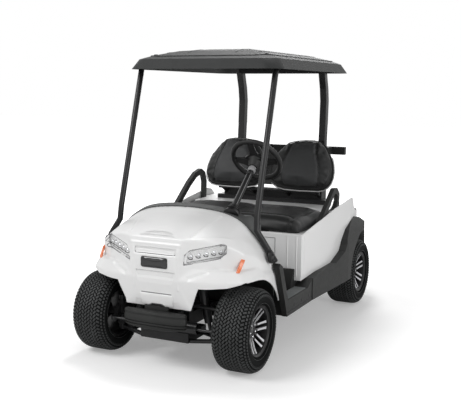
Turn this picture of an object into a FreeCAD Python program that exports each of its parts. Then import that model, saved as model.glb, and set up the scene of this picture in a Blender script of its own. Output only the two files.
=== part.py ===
import FreeCAD, Part
import math
import os

V = FreeCAD.Vector
os.makedirs("parts", exist_ok=True)

# Overall
wheelbase = 1664.0
front_overhang = 240.0
rear_overhang = 426.0
roof_top_z = 1748.0
front_end_y = -(front_overhang + wheelbase + rear_overhang) / 2
front_axle_y = front_end_y + front_overhang
rear_axle_y = front_axle_y + wheelbase
rear_end_y = rear_axle_y + rear_overhang

# Tyres and rims
tyre_r = 229.0
tyre_w = 206.0
tyre_shoulder = 34.0
front_tread = 876.0
rear_tread = 978.0
bead_r = 128.0
rim_lip_r = 143.0
rim_w = 176.0
rim_wall = 7.0
rim_lip_w = 11.0
rim_dish = 44.0
spoke_t = 20.0
spoke_w = 14.0
spoke_gap = 15.0
spoke_pairs = 7
hub_r = 50.0
hub_bore_r = 19.0
fit_gap = 0.3
margin = 1.0

# Front axle and steering
kingpin_x = 340.0
knuckle_low_z = 160.0
knuckle_high_z = 300.0
knuckle_half = 17.0
spindle_r = hub_bore_r - fit_gap
spindle_len = 96.0
arm_drop_x = 26.0
arm_reach = 130.0
arm_z = 216.0
arm_h = 12.0
ball_r = 13.0
tie_rod_r = 8.0
tie_inner_x = 147.0
rack_back = 14.0
boot_r = 28.0
boot_wall = 3.0
boot_floor_x = 68.0
rack_ball_r = 9.0
boot_mouth_x = 216.0
rack_r = 22.0
lower_arm_x = 150.0
arm_spread = 86.0
arm_tube_r = 12.0
upper_arm_z = 334.0
shock_r = 24.0
shock_top_x = 172.0
shock_top_z = 452.0

# Frame
rail_w = 40.0
front_rail_x = 70.0
rear_rail_x = 250.0
rail_low_z = 190.0
rail_top_z = 268.0
horn_low_z = 264.0
horn_top_z = 300.0
horn_y = front_axle_y - 84.0
rail_neck_y = front_axle_y + 330.0
rail_rear_y = rear_axle_y + 330.0
kick_start_y = rear_axle_y - 470.0
kick_end_y = rear_axle_y - 330.0
kick_low_z = 330.0
kick_top_z = 408.0
crossbar = 50.0
tower_w = 44.0

# Floor and rockers
floor_z = 292.0
floor_t = 16.0
floor_front_y = front_axle_y + 318.0
toe_mid_y = front_axle_y + 262.0
toe_mid_z = 470.0
toe_top_y = front_axle_y + 176.0
toe_top_z = 560.0
rocker_in_x = 480.0
rocker_out_x = 566.0
rocker_low_z = 240.0
rocker_top_z = 334.0

# Cowl
cowl_t = 5.0
cowl_rear_y = front_axle_y + 160.0
cowl_w = 530.0
cowl_top_z = 873.0
arch_r = 274.0
band_w = 58.0
band_t = 16.0
dash_y = front_axle_y + 300.0
dash_low_z = 560.0

# Seat pod and rear body
pod_front_y = front_axle_y + 622.0
pod_w = 545.0
panel_t = 5.0
fin_z = 782.0
body_rear_y = rear_axle_y + 380.0
flare_w = 604.0
flare_arch_r = 300.0
flare_in_x = 484.0
flare_tail_x = 425.0
flare_bend_x = 564.0
flare_end_x = 530.0
flare_front_y = front_axle_y + 0.42 * wheelbase

# Seats
seat_half_w = 495.0
seat_front_y = front_axle_y + 632.0
seat_rear_y = front_axle_y + 1190.0
seat_low_z = 652.0
seat_top_z = 742.0
seat_pin_r = 5.0
seat_pin_x = 260.0
seat_pin_l = 90.0
seat_leaf_l = 46.0
back_x = 240.0
back_w = 432.0
back_low_y = front_axle_y + 1222.0
back_low_z = 826.0
back_h = 352.0
back_t = 96.0
back_lean = 22.0
back_bar_half = 378.0

# Roof
roof_low_z = 1621.0
roof_mid_z = 1680.0
roof_half_w = 489.0
roof_front_y = front_axle_y + 289.0
roof_rear_y = front_axle_y + 1596.0
roof_inset = 36.0
roof_corner_r = 90.0
dome_inset = 330.0
roof_t = 9.0
strut_r = 17.0
front_strut_x = 437.0
front_strut_top_y = front_axle_y + 385.0
rear_strut_x = 311.0
rear_strut_w = 56.0
rear_strut_side = 46.0
rear_strut_t = 34.0
strut_high_z = roof_low_z + rear_strut_t
rear_strut_top_y = front_axle_y + 1518.0

# Steering wheel
steer_x = 270.0
steer_y = front_axle_y + 509.0
steer_z = 1096.0
steer_tilt = 39.0
steer_r = 145.0
steer_grip_r = 13.0
steer_hub_r = 42.0
spoke_angles = (0, 90, 180)
column_r = 17.0

# Driveline
tube_r = 36.0
diff_r = 92.0
diff_x = 60.0
drum_r = 92.0
drum_w = 52.0
motor_r = 88.0
motor_len = 190.0
spring_half = 290.0
spring_eye = 34.0
spring_t = 16.0
spring_w = 50.0
battery_w = 620.0
battery_l = 470.0
battery_h = 250.0
battery_y = front_axle_y + 680.0
kick_h = 150.0
rocker_rise = 22.0
rocker_post = 90.0
cowl_rear_low_z = 545.0
band_low_z = 592.0
band_foot_w = 28.0
band_bend_z = 735.0

# Cowl outlines, as shares of the cowl's half width, length and height
cowl_l = 560.0
cowl_nose_y = front_end_y - 20.0
nose_y = front_end_y + 25.0
nose_low_z = 340.0
fender_z = 463.0
well_x = 250.0
lamp_x = 163.0
lamp_w = 203.0
lamp_z = 585.0
lamp_h = 115.0
lamp_depth = 34.0
slot_half_w = 127.0
slot_z = 640.0
slot_h = 26.0
recess_d = 3.0
plaque_half_w = 70.0
plaque_z = 568.0
plaque_h = 50.0
notch_w = 80.0
notch_h = 16.0
lip_low_z = 430.0
lip_top_z = 505.0
lip_fade_z = 560.0
lip_out = 24.0
cowl_shares = (
    (0.0, ((0, .816), (.226, .811), (.434, .790), (.623, .733), (.755, .670), (.830, .596), (.849, .504))),
    (.286, ((0, .878), (.226, .873), (.434, .852), (.642, .802), (.811, .716), (.906, .624), (.925, .504))),
    (.464, ((0, .922), (.245, .915), (.453, .892), (.660, .838), (.840, .745), (.943, .641), (.966, .504))),
    (.75, ((0, .966), (.275, .958), (.451, .942), (.623, .902), (.792, .814), (.943, .687), (.991, .504))),
    (1.0, ((0, .996), (.275, .988), (.462, .971), (.651, .930), (.811, .835), (.962, .687), (1.0, .504))))
nose_plan_shares = ((0, 0), (.245, .01), (.332, .055), (.66, .21), (.83, .33), (.943, .52), (.99, .78),
        (1.0, 1.0))
nose_side_shares = ((.39, .075), (.53, .03), (.64, .01), (.68, 0), (.75, .022), (.83, .045), (.86, .15))
lip_plan_shares = (
    (0, .012), (.245, .014), (.38, .028), (.47, .045), (.6, .078), (.75, .13), (.865, .22), (.94, .34), (.972, .46),
    (.985, .6), (1.0, .8), (1.0, .86), (0, .86))
chin_shares = (
    (0, .076), (.245, .076), (.35, .084), (.40, .1), (.6, .16), (.75, .22), (.865, .3), (.94, .4), (.972, .5),
    (.985, .62), (1.0, .8), (1.0, .86), (0, .86))
lip_foot_shares = (
    (0, .042), (.245, .042), (.38, .052), (.47, .066), (.6, .092), (.75, .14), (.865, .225), (.94, .34), (.972, .46),
    (.985, .6), (1.0, .8), (1.0, .86), (0, .86))
lip_edge_shares = ((-.1, .53), (.07, .535), (.16, .552), (.24, .57), (.28, .576))
panel_cut_shares = ((.475, .545), (.475, .3), (.34, .3), (.38, .4))
facet_shares = ((.32, .6), (.62, .66), (.6, .625), (.34, .56))
lamp_shares = ((0, 0), (.03, .5), (.16, .72), (.88, 1.0), (1.0, .92), (.99, .55), (.86, .33))

# Dash, bumper and trays
dash_top_z = 800.0
dash_half = 395.0
glove_x = 60.0
glove_w = 130.0
glove_d = 50.0
glove_z = 640.0
glove_h = 90.0
cup_r = 38.0
cup_d = 62.0
cup_x = 100.0
cup_y = 43.0
bumper_half = 205.0
bumper_low_z = 226.0
bumper_h = 118.0
bumper_d = 48.0
bumper_shares = ((.72, 0), (.96, .12), (1.0, .3), (1.0, 1.0), (.76, 1.0), (.6, .6))
tow_w = 60.0
tow_l = 70.0
tow_h = 8.0
tow_r = 9.0
seat_gap = 8.0
ledge_t = 12.0
ledge_w = 90.0
seat_round = 24.0
deck_z = 730.0
deck_side_y = front_axle_y + 1390.0
deck_rear_y = front_axle_y + 1625.0
well_half_w = 400.0
well_low_z = 560.0
well_top_z = 632.0
tail_x = 334.0
tail_w = 60.0
tail_z = 540.0
tail_h = 90.0
tail_d = 16.0
frame_tube_r = 14.0
back_bar_in = 110.0
base_y = front_axle_y + 1376.0
base_d = 110.0
base_half = 413.0
base_step = 43.0
base_low_h = 30.0
base_h = 86.0
hip_x = 522.0
strut_foot_x = 536.0
hip_w = 28.0
hip_band = 38.0
strut_sweep = 40.0
strut_bow_shares = ((0, -.5), (.055, 0), (.11, .6), (.18, .95), (.3, .75), (.4, .5), (.6, .6), (1.0, 1.0))
kink_z = 745.0
kink_low_z = 650.0
kink_y = front_axle_y + 138.0
kink_low_y = front_axle_y + 140.0
kink_x = front_strut_x + 3.0
strut_base_step = 30.0
kink_high_y = front_axle_y + 148.0
strut_foot_y = front_axle_y + 176.0
kink_drop = 80.0
strut_foot_z = 577.0
rack_y = front_axle_y + 1700.0
rack_z = 1052.0
rack_h = 56.0
rack_t = 36.0
rack_half_w = 430.0
column_len = 400.0
pedal_gap = 60.0
pedal_w = 56.0
pedal_h = 130.0
pedal_foot_y = floor_front_y + 6.0
rear_plan_shares = ((.955, 0), (1.0, .2), (1.025, .6), (.965, .76), (.87, .9), (.755, 1.0))
arch_line_shares = (
    (1.0, .795), (.96, .81), (.888, .8), (.818, .737), (.78, .67), (.745, .577), (.65, .512), (.5, .505))
rear_side_shares = (
    (.374, .476), (.374, .829), (.52, .893), (.70, .955), (.894, 1.0), (.925, .985), (.965, .9), (1.01, .85),
    (1.2285, .81), (1.2285, .5), (1.16, .56), (1.10, .68), (1.045, .75))
flare_crown_shares = ((.8, 0), (1.0, 0), (1.0, .63), (.97, .73), (.925, .81), (.8, .84))
flare_shares = ((.42, .484), (.42, .31), (1.17, .31), (1.16, .56), (1.10, .68), (1.045, .75))
dome_shares = ((0, 0), (.2, .36), (.55, .78), (1.0, 1.0))
back_shares = (
    (-.8, 0), (.62, 0), (.9, .1), (1.0, .34), (1.0, .56), (.86, .82), (.64, .96), (.2, 1.0), (-.3, .99),
    (-.62, .93), (-.86, .7), (-.97, .4), (-.95, .12))
hip_left_shares = ((.556, .861), (.709, 1.091), (.736, 1.091), (.76, 1.051), (.758, .98), (.727, .926), (.586, .864))
hip_right_shares = (
    (.54, .86), (.6, .955), (.68, 1.085), (.735, 1.155), (.782, 1.18), (.81, 1.15), (.822, 1.08), (.818, .9),
    (.8, .862))


def save(name, shape):
    shape.exportStep("parts/" + name + ".step")


def box(x0, x1, y0, y1, z0, z1):
    return Part.makeBox(x1 - x0, y1 - y0, z1 - z0, V(x0, y0, z0))


def flip(shape):
    return shape.mirror(V(0, 0, 0), V(1, 0, 0))


def rod(a, b, r):
    return Part.makeCylinder(r, (b - a).Length, a, b - a)


def tube_path(points, r):
    solid = rod(points[0], points[1], r)
    for i in range(1, len(points) - 1):
        solid = solid.fuse(Part.makeSphere(r, points[i])).fuse(rod(points[i], points[i + 1], r))
    return solid.removeSplitter()


def prism_x(x0, x1, outline):
    wire = Part.makePolygon([V(x0, y, z) for y, z in outline] + [V(x0, *outline[0])])
    return Part.Face(wire).extrude(V(x1 - x0, 0, 0))


def prism_y(y0, y1, outline):
    wire = Part.makePolygon([V(x, y0, z) for x, z in outline] + [V(outline[0][0], y0, outline[0][1])])
    return Part.Face(wire).extrude(V(0, y1 - y0, 0))


def prism_z(z0, z1, outline):
    wire = Part.makePolygon([V(x, y, z0) for x, y in outline] + [V(*outline[0], z0)])
    return Part.Face(wire).extrude(V(0, 0, z1 - z0))


def spun_x(outline, y, z):
    wire = Part.makePolygon([V(x, y, z + r) for x, r in outline] + [V(outline[0][0], y, z + outline[0][1])])
    return Part.Face(wire).revolve(V(0, y, z), V(1, 0, 0), 360)


# Wheels
def tyre(x, y):
    half = tyre_w / 2
    lip = rim_w / 2 - rim_lip_w
    step = tyre_shoulder
    outline = ((-lip, bead_r), (lip, bead_r), (lip, rim_lip_r), (half - step / 4, rim_lip_r + step / 2),
               (half, (rim_lip_r + tyre_r) / 2), (half - step / 8, tyre_r - step), (half - step / 2,
                       tyre_r - step / 4),
               (half - step, tyre_r), (step - half, tyre_r), (step / 2 - half, tyre_r - step / 4),
               (step / 8 - half, tyre_r - step), (-half, (rim_lip_r + tyre_r) / 2),
               (step / 4 - half, rim_lip_r + step / 2), (-lip, rim_lip_r))
    return spun_x([(x + px, r) for px, r in outline], y, tyre_r)


def rim(x, y, side):
    half = rim_w / 2
    lip = half - rim_lip_w
    inner = bead_r - rim_wall
    bead = bead_r - fit_gap
    barrel = ((-half, inner), (half, inner), (half, rim_lip_r), (lip + fit_gap, rim_lip_r), (lip + fit_gap,
            bead),
              (-lip - fit_gap, bead), (-lip - fit_gap, rim_lip_r), (-half, rim_lip_r))
    solid = spun_x(barrel, 0, 0)
    face = half - rim_dish
    hub = Part.makeCylinder(hub_r, spoke_t * 2, V(face - spoke_t * 2, 0, 0), V(1, 0, 0))
    solid = solid.fuse(hub)
    for i in range(spoke_pairs):
        for offset in (-spoke_gap, spoke_gap):
            spoke = box(face - spoke_t, face, offset - spoke_w / 2, offset + spoke_w / 2, hub_r - spoke_t,
                    inner + margin)
            spoke.rotate(V(0, 0, 0), V(1, 0, 0), 360 * i / spoke_pairs)
            solid = solid.fuse(spoke)
    solid = solid.cut(Part.makeCylinder(hub_bore_r, spoke_t * 1.5, V(face - spoke_t * 2, 0, 0), V(1, 0, 0)))
    if side < 0:
        solid = flip(solid)
    solid.translate(V(x, y, tyre_r))
    return solid.removeSplitter()


# Running gear
def knuckle(side):
    x, y = kingpin_x, front_axle_y
    half = knuckle_half
    solid = box(x - half, x + half, y - half, y + half, knuckle_low_z, knuckle_high_z)
    tip = x + half + spindle_len
    solid = solid.fuse(rod(V(x, y, tyre_r), V(tip, y, tyre_r), spindle_r))
    solid = solid.fuse(rod(V(x, y, tyre_r), V(x + half * 1.5, y, tyre_r), hub_r))
    arm_x = x - arm_drop_x
    arm = prism_z(arm_z - arm_h / 2, arm_z + arm_h / 2, (
        (x - half, y + half), (x + half, y - half), (arm_x + ball_r, y - arm_reach), (arm_x,
                y - arm_reach - ball_r),
        (arm_x - ball_r, y - arm_reach)))
    solid = solid.fuse(arm)
    return solid if side > 0 else flip(solid)


def tie_rod(side):
    x = kingpin_x - arm_drop_x
    y = front_axle_y - arm_reach
    low = arm_z + arm_h / 2 + fit_gap
    solid = Part.makeCylinder(ball_r, tie_rod_r * 2, V(x, y, low))
    z = low + tie_rod_r
    solid = solid.fuse(rod(V(x, y, z), V(tie_inner_x, y, z), tie_rod_r))
    solid = solid.fuse(rod(V(tie_inner_x + rack_ball_r, y, z), V(tie_inner_x - rack_ball_r, y, z),
            rack_ball_r))
    return solid if side > 0 else flip(solid)


def steering_rack():
    y = front_axle_y - arm_reach + rack_back
    z = arm_z + arm_h / 2 + fit_gap + tie_rod_r
    outer = boot_r + boot_wall
    solid = rod(V(-boot_floor_x, y, z), V(boot_floor_x, y, z), rack_r)
    for side in (-1, 1):
        boot = rod(V(side * (boot_floor_x - boot_wall), y, z), V(side * boot_mouth_x, y, z), outer)
        boot = boot.cut(rod(V(side * boot_floor_x, y, z), V(side * (boot_mouth_x + margin), y, z), boot_r))
        solid = solid.fuse(boot)
        x = side * front_rail_x
        foot = box(x - rack_r, x + rack_r, y - rack_r, y + rack_r, z, horn_low_z)
        solid = solid.fuse(foot.cut(rod(V(side * boot_floor_x, y, z), V(side * (boot_mouth_x + margin), y,
                z), boot_r)))
    return solid.removeSplitter()


def front_suspension(side):
    y = front_axle_y
    r = arm_tube_r
    low = knuckle_low_z - r * 1.2 - fit_gap
    ball = V(kingpin_x, y, low)
    solid = tube_path([V(lower_arm_x, y - arm_spread, low), ball, V(lower_arm_x, y + arm_spread, low)], r)
    solid = solid.fuse(Part.makeCylinder(knuckle_half, r * 2.4, V(kingpin_x, y, low - r * 1.2)))
    mid = (lower_arm_x + kingpin_x) / 2
    solid = solid.fuse(rod(V(mid, y - arm_spread / 2, low), V(mid, y + arm_spread / 2, low), r * 0.8))
    high = knuckle_high_z + r * 1.2 + fit_gap
    upper = tube_path([V(lower_arm_x, y - arm_spread / 2, upper_arm_z), V(kingpin_x, y, high),
                       V(lower_arm_x, y + arm_spread / 2, upper_arm_z)], r)
    upper = upper.fuse(Part.makeCylinder(knuckle_half, r * 2.4, V(kingpin_x, y, knuckle_high_z + fit_gap)))
    foot = V(mid, y, low)
    head = V(shock_top_x, y, shock_top_z)
    shock = rod(foot, head, r * 0.9).fuse(rod(foot + (head - foot) * 0.3, foot + (head - foot) * 0.95,
            shock_r))
    solid = solid.fuse(shock).fuse(upper).cut(subframe_block())
    return solid if side > 0 else flip(solid)


def rear_axle():
    z = tyre_r
    half = rear_tread / 2 - rim_w / 2
    y = rear_axle_y
    solid = rod(V(-half, y, z), V(half, y, z), tube_r)
    solid = solid.fuse(Part.makeSphere(diff_r, V(diff_x, y, z)))
    for side in (-1, 1):
        drum = rod(V(side * (half - drum_w), y, z), V(side * half, y, z), drum_r)
        tip = rear_tread / 2 + rim_w / 2 - rim_dish - spoke_t
        solid = solid.fuse(drum).fuse(rod(V(side * half, y, z), V(side * tip, y, z), spindle_r))
    motor = rod(V(diff_x, y - diff_r, z), V(diff_x, y - diff_r - motor_len, z), motor_r)
    return solid.fuse(motor).fuse(rod(V(diff_x, y, z), V(diff_x, y - diff_r, z), motor_r - rail_w / 2))


def rear_suspension(side):
    y, z = rear_axle_y, tyre_r
    top = z + tube_r
    x = rear_rail_x
    eye = kick_low_z - spring_eye
    outline = ((y - spring_half, eye), (y - spring_half / 2, (eye + top) / 2), (y, top + fit_gap),
               (y + spring_half / 2, (eye + top) / 2), (y + spring_half, eye),
               (y + spring_half, eye + spring_t), (y + spring_half / 2, (eye + top) / 2 + spring_t),
               (y, top + spring_t * 2), (y - spring_half / 2, (eye + top) / 2 + spring_t),
                       (y - spring_half, eye + spring_t))
    solid = prism_x(x - spring_w / 2, x + spring_w / 2, outline)
    for end in (-1, 1):
        yy = y + end * (spring_half - spring_eye / 2)
        solid = solid.fuse(box(x - spring_w / 2, x + spring_w / 2, yy - spring_eye / 2, yy + spring_eye / 2,
                               eye, kick_low_z))
    foot = V(x + rail_w, y + drum_w, top + fit_gap + arm_tube_r)
    head = V(x + rail_w, y + drum_w * 2, kick_top_z + shock_r)
    shock = rod(foot, head, shock_r * 0.7)
    solid = solid.fuse(shock)
    return solid if side > 0 else flip(solid)


# Frame
def subframe_block():
    reach = arm_spread + rail_w / 2
    return box(-lower_arm_x, lower_arm_x, front_axle_y - reach, front_axle_y + reach,
               knuckle_low_z - arm_tube_r * 2, rail_low_z)


def frame_rails():
    y0 = front_end_y + bumper_d
    solid = None
    horn = ((y0, horn_low_z), (horn_y + rail_w, horn_low_z), (horn_y + rail_w, horn_top_z), (y0, horn_top_z))
    low = ((horn_y, rail_low_z), (rail_neck_y, rail_low_z), (rail_neck_y, rail_top_z), (horn_y, rail_top_z))
    rear = ((rail_neck_y - rail_w, rail_low_z), (kick_start_y, rail_low_z), (kick_end_y, kick_low_z),
            (rail_rear_y, kick_low_z), (rail_rear_y, kick_top_z), (kick_end_y - rail_w, kick_top_z),
            (kick_start_y - rail_w, rail_top_z), (rail_neck_y - rail_w, rail_top_z))
    half = rail_w / 2
    for side in (-1, 1):
        x = side * front_rail_x
        for piece in (prism_x(x - half, x + half, horn), prism_x(x - half, x + half, low)):
            solid = solid.fuse(piece) if solid else piece
        x = side * rear_rail_x
        solid = solid.fuse(prism_x(x - half, x + half, rear))
        tower = box(side * (front_rail_x + half) - half, side * (front_rail_x + half) + half,
                    front_axle_y - tower_w / 2, front_axle_y + tower_w / 2, rail_low_z, shock_top_z)
        solid = solid.fuse(tower)
        head = box(-shock_top_x, shock_top_x, front_axle_y - tower_w / 2, front_axle_y + tower_w / 2,
                   shock_top_z, shock_top_z + half)
        solid = solid.fuse(head)
    reach = rear_rail_x + half
    solid = solid.fuse(box(-reach, reach, rail_neck_y - crossbar, rail_neck_y, rail_low_z, rail_top_z))
    solid = solid.fuse(box(-reach, reach, rail_rear_y - crossbar, rail_rear_y, kick_low_z, kick_top_z))
    solid = solid.fuse(box(-reach, reach, kick_start_y - crossbar * 2, kick_start_y - crossbar, rail_low_z,
            rail_top_z))
    solid = solid.fuse(subframe_block())
    for side in (-1, 1):
        x0, x1 = sorted((side * (rocker_in_x - rail_w), side * rocker_in_x))
        solid = solid.fuse(box(x0, x1, floor_front_y + crossbar, kick_start_y, rail_low_z + crossbar,
                rail_top_z))
    for y in (floor_front_y + crossbar, kick_start_y - crossbar):
        solid = solid.fuse(box(-rocker_in_x, rocker_in_x, y, y + crossbar, rail_low_z + crossbar, rail_top_z))
    return solid.removeSplitter()


def battery_pack():
    z = rail_top_z
    return box(-battery_w / 2, battery_w / 2, battery_y, battery_y + battery_l, z, z + battery_h)


# Floor and rockers
def floor_pan():
    low = floor_z - floor_t
    back = pod_front_y - fit_gap
    outline = ((floor_front_y, low), (back, low), (back, floor_z + kick_h),
               (back - floor_t, floor_z + kick_h), (back - kick_h / 2, floor_z), (floor_front_y, floor_z),
               (toe_mid_y + floor_t / 2, toe_mid_z), (toe_top_y + floor_t, toe_top_z), (toe_top_y, toe_top_z),
               (toe_mid_y - floor_t / 2, toe_mid_z), (floor_front_y - floor_t / 2, floor_z))
    return prism_x(-rocker_in_x, rocker_in_x, outline)


def rocker(side):
    y0, y1 = floor_front_y - crossbar, pod_front_y
    low, top = rocker_low_z, rocker_top_z
    rise = rocker_rise
    outline = ((y0 + crossbar / 2, low), (flare_front_y - fit_gap, low), (flare_front_y - fit_gap,
            top + rise * 2),
               (y1, top), (y0 + rocker_post, top), (toe_top_y + rocker_post, cowl_rear_low_z),
               (toe_top_y, cowl_rear_low_z + rise), (toe_top_y - rise / 2, cowl_rear_low_z),
               (y0 - rise / 2, top))
    solid = prism_x(rocker_in_x, rocker_out_x, outline).cut(cowl_loft(-cowl_t - fit_gap))
    solid = sorted(solid.Solids, key=lambda s: s.Volume)[-1]
    return solid if side > 0 else flip(solid)


# Cowl
def cowl_loft(inset):
    wires = []
    for along, half in cowl_shares:
        y = cowl_nose_y + along * cowl_l
        right = [V(x * cowl_w - (inset if x else 0), y, z * cowl_top_z - inset) for x, z in half]
        left = [V(-p.x, p.y, p.z) for p in right[:0:-1]]
        curve = Part.BSplineCurve()
        curve.interpolate(left + right)
        a, b = right[-1], left[0]
        low_a, low_b = V(a.x, y, nose_low_z - cowl_w / 5), V(b.x, y, nose_low_z - cowl_w / 5)
        wires.append(Part.Wire([curve.toShape(), Part.makeLine(a, low_a), Part.makeLine(low_a, low_b),
                                Part.makeLine(low_b, b)]))
    return Part.makeLoft(wires, True, False)


def cowl_body(inset):
    rear = cowl_nose_y + cowl_l
    side = [(nose_y + s * cowl_l + inset, z * cowl_top_z) for z, s in nose_side_shares]
    side = [(side[0][0], nose_low_z - inset * 4)] + side + [(rear, cowl_top_z * 1.1), (rear,
            nose_low_z - inset * 4)]
    plan = [(x * cowl_w - (inset if x else 0), nose_y + y * cowl_l + inset) for x, y in nose_plan_shares]
    plan = plan + [(plan[-1][0], rear + cowl_t), (-plan[-1][0], rear + cowl_t)] + [(-x, y) for x,
            y in plan[:0:-1]]
    solid = cowl_loft(inset).common(prism_x(-cowl_w, cowl_w, side))
    return solid.common(prism_z(nose_low_z - cowl_t * 6, cowl_top_z * 1.1, plan))


def cowl_lip(inset):
    chin, foot, low = [[(x * cowl_w - (inset if x else 0), nose_y + y * cowl_l + inset) for x, y in table]
                       for table in (chin_shares, lip_foot_shares, lip_plan_shares)]
    high = [(x - lip_out * (1 if x else 0), y + lip_out) for x, y in low]
    wires = []
    for z, half in ((nose_low_z - inset * 4, chin), (lip_low_z - inset, foot), (lip_top_z - inset, low),
                    (lip_fade_z - inset, high)):
        points = [V(x, y, z) for x, y in half] + [V(-x, y, z) for x, y in half[:0:-1]]
        wires.append(Part.makePolygon(points + [points[0]]))
    return Part.makeLoft(wires, True, True)


def outer_skin(inset):
    return cowl_body(inset).fuse(cowl_lip(inset))


def lamp_prism(side, grow):
    points = []
    for u, v in lamp_shares:
        x = lamp_x + u * lamp_w + grow * (1 if u > 0.5 else -1)
        points.append((side * x, lamp_z + v * lamp_h + grow * (1 if v > 0.5 else -1)))
    return prism_y(front_end_y, front_axle_y + lamp_depth, points)


def recess(points, depth):
    zone = prism_y(front_end_y - rail_w, front_axle_y, points)
    return cowl_body(0).cut(cowl_body(depth)).common(zone)


def front_cowl():
    solid = outer_skin(0).cut(outer_skin(cowl_t))
    y0 = front_end_y - rail_w
    far = cowl_w * 1.1
    for side in (-1, 1):
        x0, x1 = sorted((side * well_x, side * far))
        low = [(y0, 0)] + [(nose_y + y * cowl_l, z * cowl_top_z) for y, z in lip_edge_shares]
        solid = solid.cut(prism_x(x0, x1, low + [(low[-1][0], 0)]))
        solid = solid.cut(rod(V(side * well_x, front_axle_y, tyre_r), V(side * far, front_axle_y, tyre_r),
                arch_r))
        wedge = [(side * x * cowl_w, z * cowl_top_z) for x, z in panel_cut_shares]
        solid = solid.cut(prism_y(y0, front_axle_y, wedge))
        solid = solid.cut(lamp_prism(side, fit_gap))
        solid = solid.cut(recess([(side * x * cowl_w, z * cowl_top_z) for x, z in facet_shares], recess_d))
    top = cowl_top_z * 1.1
    tail = ((cowl_rear_y, top), (cowl_rear_y, band_low_z - fit_gap), (toe_top_y + rocker_post, fender_z),
            (floor_front_y, tyre_r + arch_r / 2), (floor_front_y, 0), (front_axle_y + cowl_l, 0),
            (front_axle_y + cowl_l, top))
    solid = solid.cut(prism_x(-far, far, tail))
    for half_w, z0, z1 in ((slot_half_w, slot_z, slot_z + slot_h), (plaque_half_w, plaque_z,
            plaque_z + plaque_h)):
        solid = solid.cut(recess(((-half_w, z0), (half_w, z0), (half_w, z1), (-half_w, z1)), recess_d))
    notch = box(-notch_w / 2, notch_w / 2, y0, front_axle_y, nose_low_z - cowl_t * 5, nose_low_z + notch_h)
    solid = solid.cut(notch)
    return sorted(solid.Solids, key=lambda s: s.Volume)[-1]


def headlamp(side):
    solid = cowl_body(cowl_t / 2).common(lamp_prism(side, 0))
    solid = solid.cut(cowl_body(lamp_depth))
    return sorted(solid.Solids, key=lambda s: s.Volume)[-1]


def dash_cowl():
    y0, y1 = cowl_rear_y + fit_gap, cowl_rear_y + band_w
    top = cowl_top_z * 1.2
    zone = ((y0, top), (y0, band_low_z), (y0 + band_foot_w, band_low_z), (y1, band_bend_z), (y1, top))
    ring = cowl_loft(-cowl_t).cut(cowl_loft(band_t)).common(prism_x(-cowl_w * 1.1, cowl_w * 1.1, zone))
    panel_zone = ((y1 - band_t, dash_top_z), (y1 - band_t, dash_low_z), (dash_y, dash_low_z), (dash_y,
            dash_top_z))
    panel = cowl_loft(band_t - cowl_t).common(prism_x(-dash_half, dash_half, panel_zone))
    for side in (-1, 1):
        x0, x1 = sorted((side * glove_x, side * (glove_x + glove_w)))
        panel = panel.cut(box(x0, x1, dash_y - glove_d, dash_y + margin, glove_z, glove_z + glove_h))
        cup = Part.makeCylinder(cup_r, cup_d, V(side * cup_x, dash_y - cup_y, dash_top_z - cup_d))
        panel = panel.cut(cup)
    return ring.fuse(panel).cut(tilted(column_core(fit_gap))).removeSplitter()


def front_bumper():
    points = [(x * bumper_half, bumper_low_z + z * bumper_h) for x, z in bumper_shares]
    points = points + [(-x, z) for x, z in points[::-1]]
    solid = prism_y(front_end_y, front_end_y + bumper_d, points)
    plan = ((-bumper_half, front_end_y + bumper_d), (-bumper_half, front_end_y + bumper_d / 2),
            (-bumper_half * 0.6, front_end_y), (bumper_half * 0.6, front_end_y),
            (bumper_half, front_end_y + bumper_d / 2), (bumper_half, front_end_y + bumper_d))
    solid = solid.common(prism_z(0, cowl_top_z, plan))
    y0 = front_end_y + bumper_d / 2
    tow = box(-tow_w / 2, tow_w / 2, y0, y0 + tow_l, bumper_low_z - tow_h, bumper_low_z + tow_h)
    tow = tow.cut(Part.makeCylinder(tow_r, tow_h * 4, V(0, y0 + tow_l - tow_w / 3, bumper_low_z - tow_h * 2)))
    return solid.fuse(tow)


# Rear body
def rear_plan(inset):
    plan = [(x * pod_w - inset, pod_front_y + y * (body_rear_y - pod_front_y)) for x, y in rear_plan_shares]
    plan[0] = (plan[0][0], plan[0][1] + inset)
    plan[-1] = (plan[-1][0], plan[-1][1] - inset)
    return plan + [(-x, y) for x, y in plan[::-1]]


def rear_side():
    return [(front_axle_y + y * wheelbase, z * fin_z) for y, z in rear_side_shares + arch_line_shares]


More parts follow.
